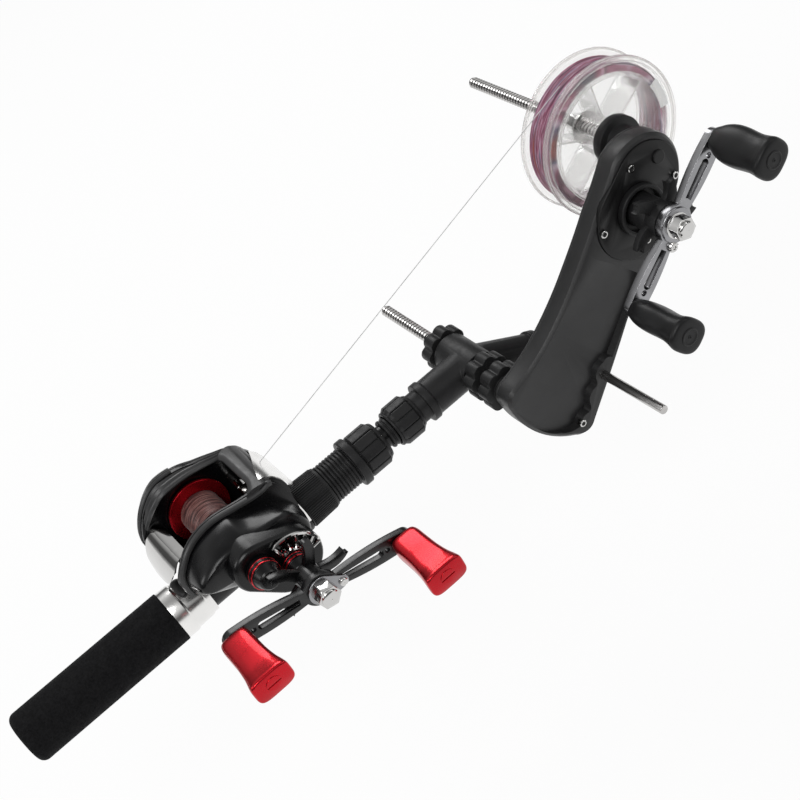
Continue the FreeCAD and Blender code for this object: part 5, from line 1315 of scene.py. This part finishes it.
class WINDER_OT_reel_spool(bpy.types.Operator):
    """The reel's spool, its line and the level wind"""
    bl_idname = "winder.reel_spool"
    bl_label = "Reel spool"

    def execute(self, context):
        # the spool's red carries painted shade towards its gear side
        softened("reel_spool_red", "reel_spool", 0.3, "reel_spool", "red_anodised", "spool_red")
        low, high = ends("reel_spool_line", 1)
        spot = across(REEL)
        # the reel's line finish is darkened as painted shade inside the reel
        line = turned("reel_wound_line", [
            (low + 0.05, 8.02), (low + 0.05, 9.9), (high - 0.05, 9.9), (high - 0.05, 8.02)], "reel_line",
            spot=spot, ease=0, steps=64)
        wind_line(line, "reel_line", low + 0.25, high - low - 0.5, 10.1, spot, 40)
        settle(line, "reel_spool", "reel_line", "reel_spool_line")
        softened("level_wind_block", "level_wind_guide", 0.3, "level_wind_guide", "steel", "chrome")
        return {"FINISHED"}


class WINDER_OT_reel_handle(bpy.types.Operator):
    """The reel's handle, star drag, nut and red knobs"""
    bl_idname = "winder.reel_handle"
    bl_label = "Reel handle"

    paddle = [(0.0, 6.0, 4.6), (0.03, 6.7, 5.2), (0.12, 7.2, 5.7), (0.32, 7.3, 5.6), (0.52, 7.5, 5.3),
              (0.72, 8.2, 5.3), (0.88, 9.2, 5.9), (0.95, 9.5, 6.25), (0.985, 9.3, 6.15), (1.0, 8.7, 5.6)]

    def execute(self, context):
        edge = sizes().metal_edge
        softened("handle_arm_black", "reel_handle_arm", 0.45, "reel_handle", "handle_metal", segments=3)
        softened("star_drag_black", "reel_star_drag", 0.6, "star_drag", "handle_metal", segments=3)
        softened("handle_nut_bright", "reel_handle_nut", edge, "reel_handle", "chrome")
        place = hub_frame(DRIVE, HANDLE_TILT)
        bm = bmesh.new()
        face = -71.6
        slab(bm, hull((0.0, 0.0), 6.9, (10.0, -1.2), 2.9), face - 1.1, face + 0.1, 0.3, place)
        settle(new_piece("retainer_plate", bm, "alloy"), "reel_handle", "chrome")
        screw = turned("retainer_screw", [
            (face - 1.0, 0.05), (face - 2.4, 0.05), (face - 2.4, 1.5), (face - 1.9, 2.1), (face - 1.0, 2.1)],
            "chrome", spot=place(10.0, -1.2), ease=0.25, steps=32)
        settle(screw, "reel_handle", "chrome")
        dome = turned("handle_nut_dome", [
            (face - 7.4, 4.4), (face - 8.3, 4.1), (face - 8.9, 2.8), (face - 9.1, 0.03), (face - 7.4, 0.03)],
            "chrome", spot=across(DRIVE), ease=0.5, steps=32)
        settle(dome, "reel_handle", "chrome")
        for letter in "ab":
            body = f"reel_knob_{letter}"
            low, high = ends(body, 1)
            x, z = across(middle(body))
            knob = hand_knob(f"paddle_{letter}", (x, z), high, low, self.paddle, 0.0, "red_anodised", 4.2)
            settle(knob, body, "red_anodised", body)
            self.slotted_cap(f"paddle_cap_{letter}", x, z, low, body)
        return {"FINISHED"}

    def slotted_cap(self, name, x, z, face, body):
        """Two half discs that leave a screw slot between them."""
        bm = bmesh.new()
        for side in (1, -1):
            half = [(x + 3.6 * math.cos(a), z + side * (0.35 + 3.25 * math.sin(a)))
                    for a in (math.pi * k / 16 for k in range(17))]
            slab(bm, half, face - 0.35, face + 0.3, 0.12)
        settle(new_piece(name, bm, "red_anodised"), body, "red_anodised")


class WINDER_OT_line(bpy.types.Operator):
    """The taut line from the reel's level wind to the spool"""
    bl_idname = "winder.line"
    bl_label = "Line"

    def execute(self, context):
        low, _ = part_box("line_lower")
        near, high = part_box("line_upper")
        start = Vector((low.x / MM, 0.0, low.z / MM + 0.1))
        reach = Vector((high.x / MM, near.y / MM + 0.2, high.z / MM - 0.1)) - start
        runs = ((0.0, 0.3, ("level_wind_guide", "handle"), []),
                (0.3, 0.62, ("handle", "bracket"), ["line_lower"]),
                (0.62, 1.0, ("bracket", "arm"), ["line_upper"]))
        for k, (from_share, to_share, pair, replaced) in enumerate(runs):
            first, last = start + reach * from_share, start + reach * to_share
            bm = bmesh.new()
            wire(bm, [first + (last - first) * (i / 24) for i in range(25)], 0.2, up=(0, 0, 1))
            piece = new_piece(f"line_run_{k + 1}", bm, "taut_line", 80)
            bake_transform(piece)
            if replaced:
                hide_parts(*replaced)
        return {"FINISHED"}


class WINDER_OT_plain_nodes(bpy.types.Operator):
    """Finishes for the CAD nodes that stay in sight or lie inside"""
    bl_idname = "winder.plain_nodes"
    bl_label = "CAD nodes"

    def execute(self, context):
        looks = {"gear_metal": "gear_brass"}
        slots = {part["node"]: part["material_slot"] for part in frame["record"]["subparts"]}
        for name, node in frame["nodes"].items():
            slot = slots[name]
            wear(node.data, looks.get(slot, slot))
            smooth(node.data)
        return {"FINISHED"}


class WINDER_PT_panel(bpy.types.Panel):
    """Lists the winder's builders and values"""
    bl_label = "Line winder"
    bl_idname = "WINDER_PT_panel"
    bl_space_type = "VIEW_3D"
    bl_region_type = "UI"
    bl_category = "Line winder"

    def draw(self, context):
        for kind in BUILDERS:
            self.layout.operator(kind.bl_idname)
        for group in (context.scene.winder_sizes, context.scene.winder_colours):
            box = self.layout.box()
            for name in group.__annotations__:
                box.prop(group, name)


BUILDERS = (WINDER_OT_stage, WINDER_OT_plain_nodes, WINDER_OT_grip, WINDER_OT_nuts, WINDER_OT_bracket,
            WINDER_OT_gear_case, WINDER_OT_crank, WINDER_OT_line_spool, WINDER_OT_reel_body,
            WINDER_OT_reel_spool, WINDER_OT_reel_handle, WINDER_OT_line)
CLASSES = (WinderSizes, WinderColours) + BUILDERS + (WINDER_PT_panel,)


def register():
    for kind in CLASSES:
        bpy.utils.register_class(kind)
    bpy.types.Scene.winder_sizes = bpy.props.PointerProperty(type=WinderSizes)
    bpy.types.Scene.winder_colours = bpy.props.PointerProperty(type=WinderColours)


def unregister():
    del bpy.types.Scene.winder_colours
    del bpy.types.Scene.winder_sizes
    for kind in reversed(CLASSES):
        bpy.utils.unregister_class(kind)


def main():
    register()
    FINISHES.update(make_finishes())
    TREES.update({"repeat": repeat_tree(), "coil": coil_tree(), "scatter": scatter_tree()})
    for kind in BUILDERS:
        group, name = kind.bl_idname.split(".")
        getattr(getattr(bpy.ops, group), name)()


if __name__ == "__main__":
    main()
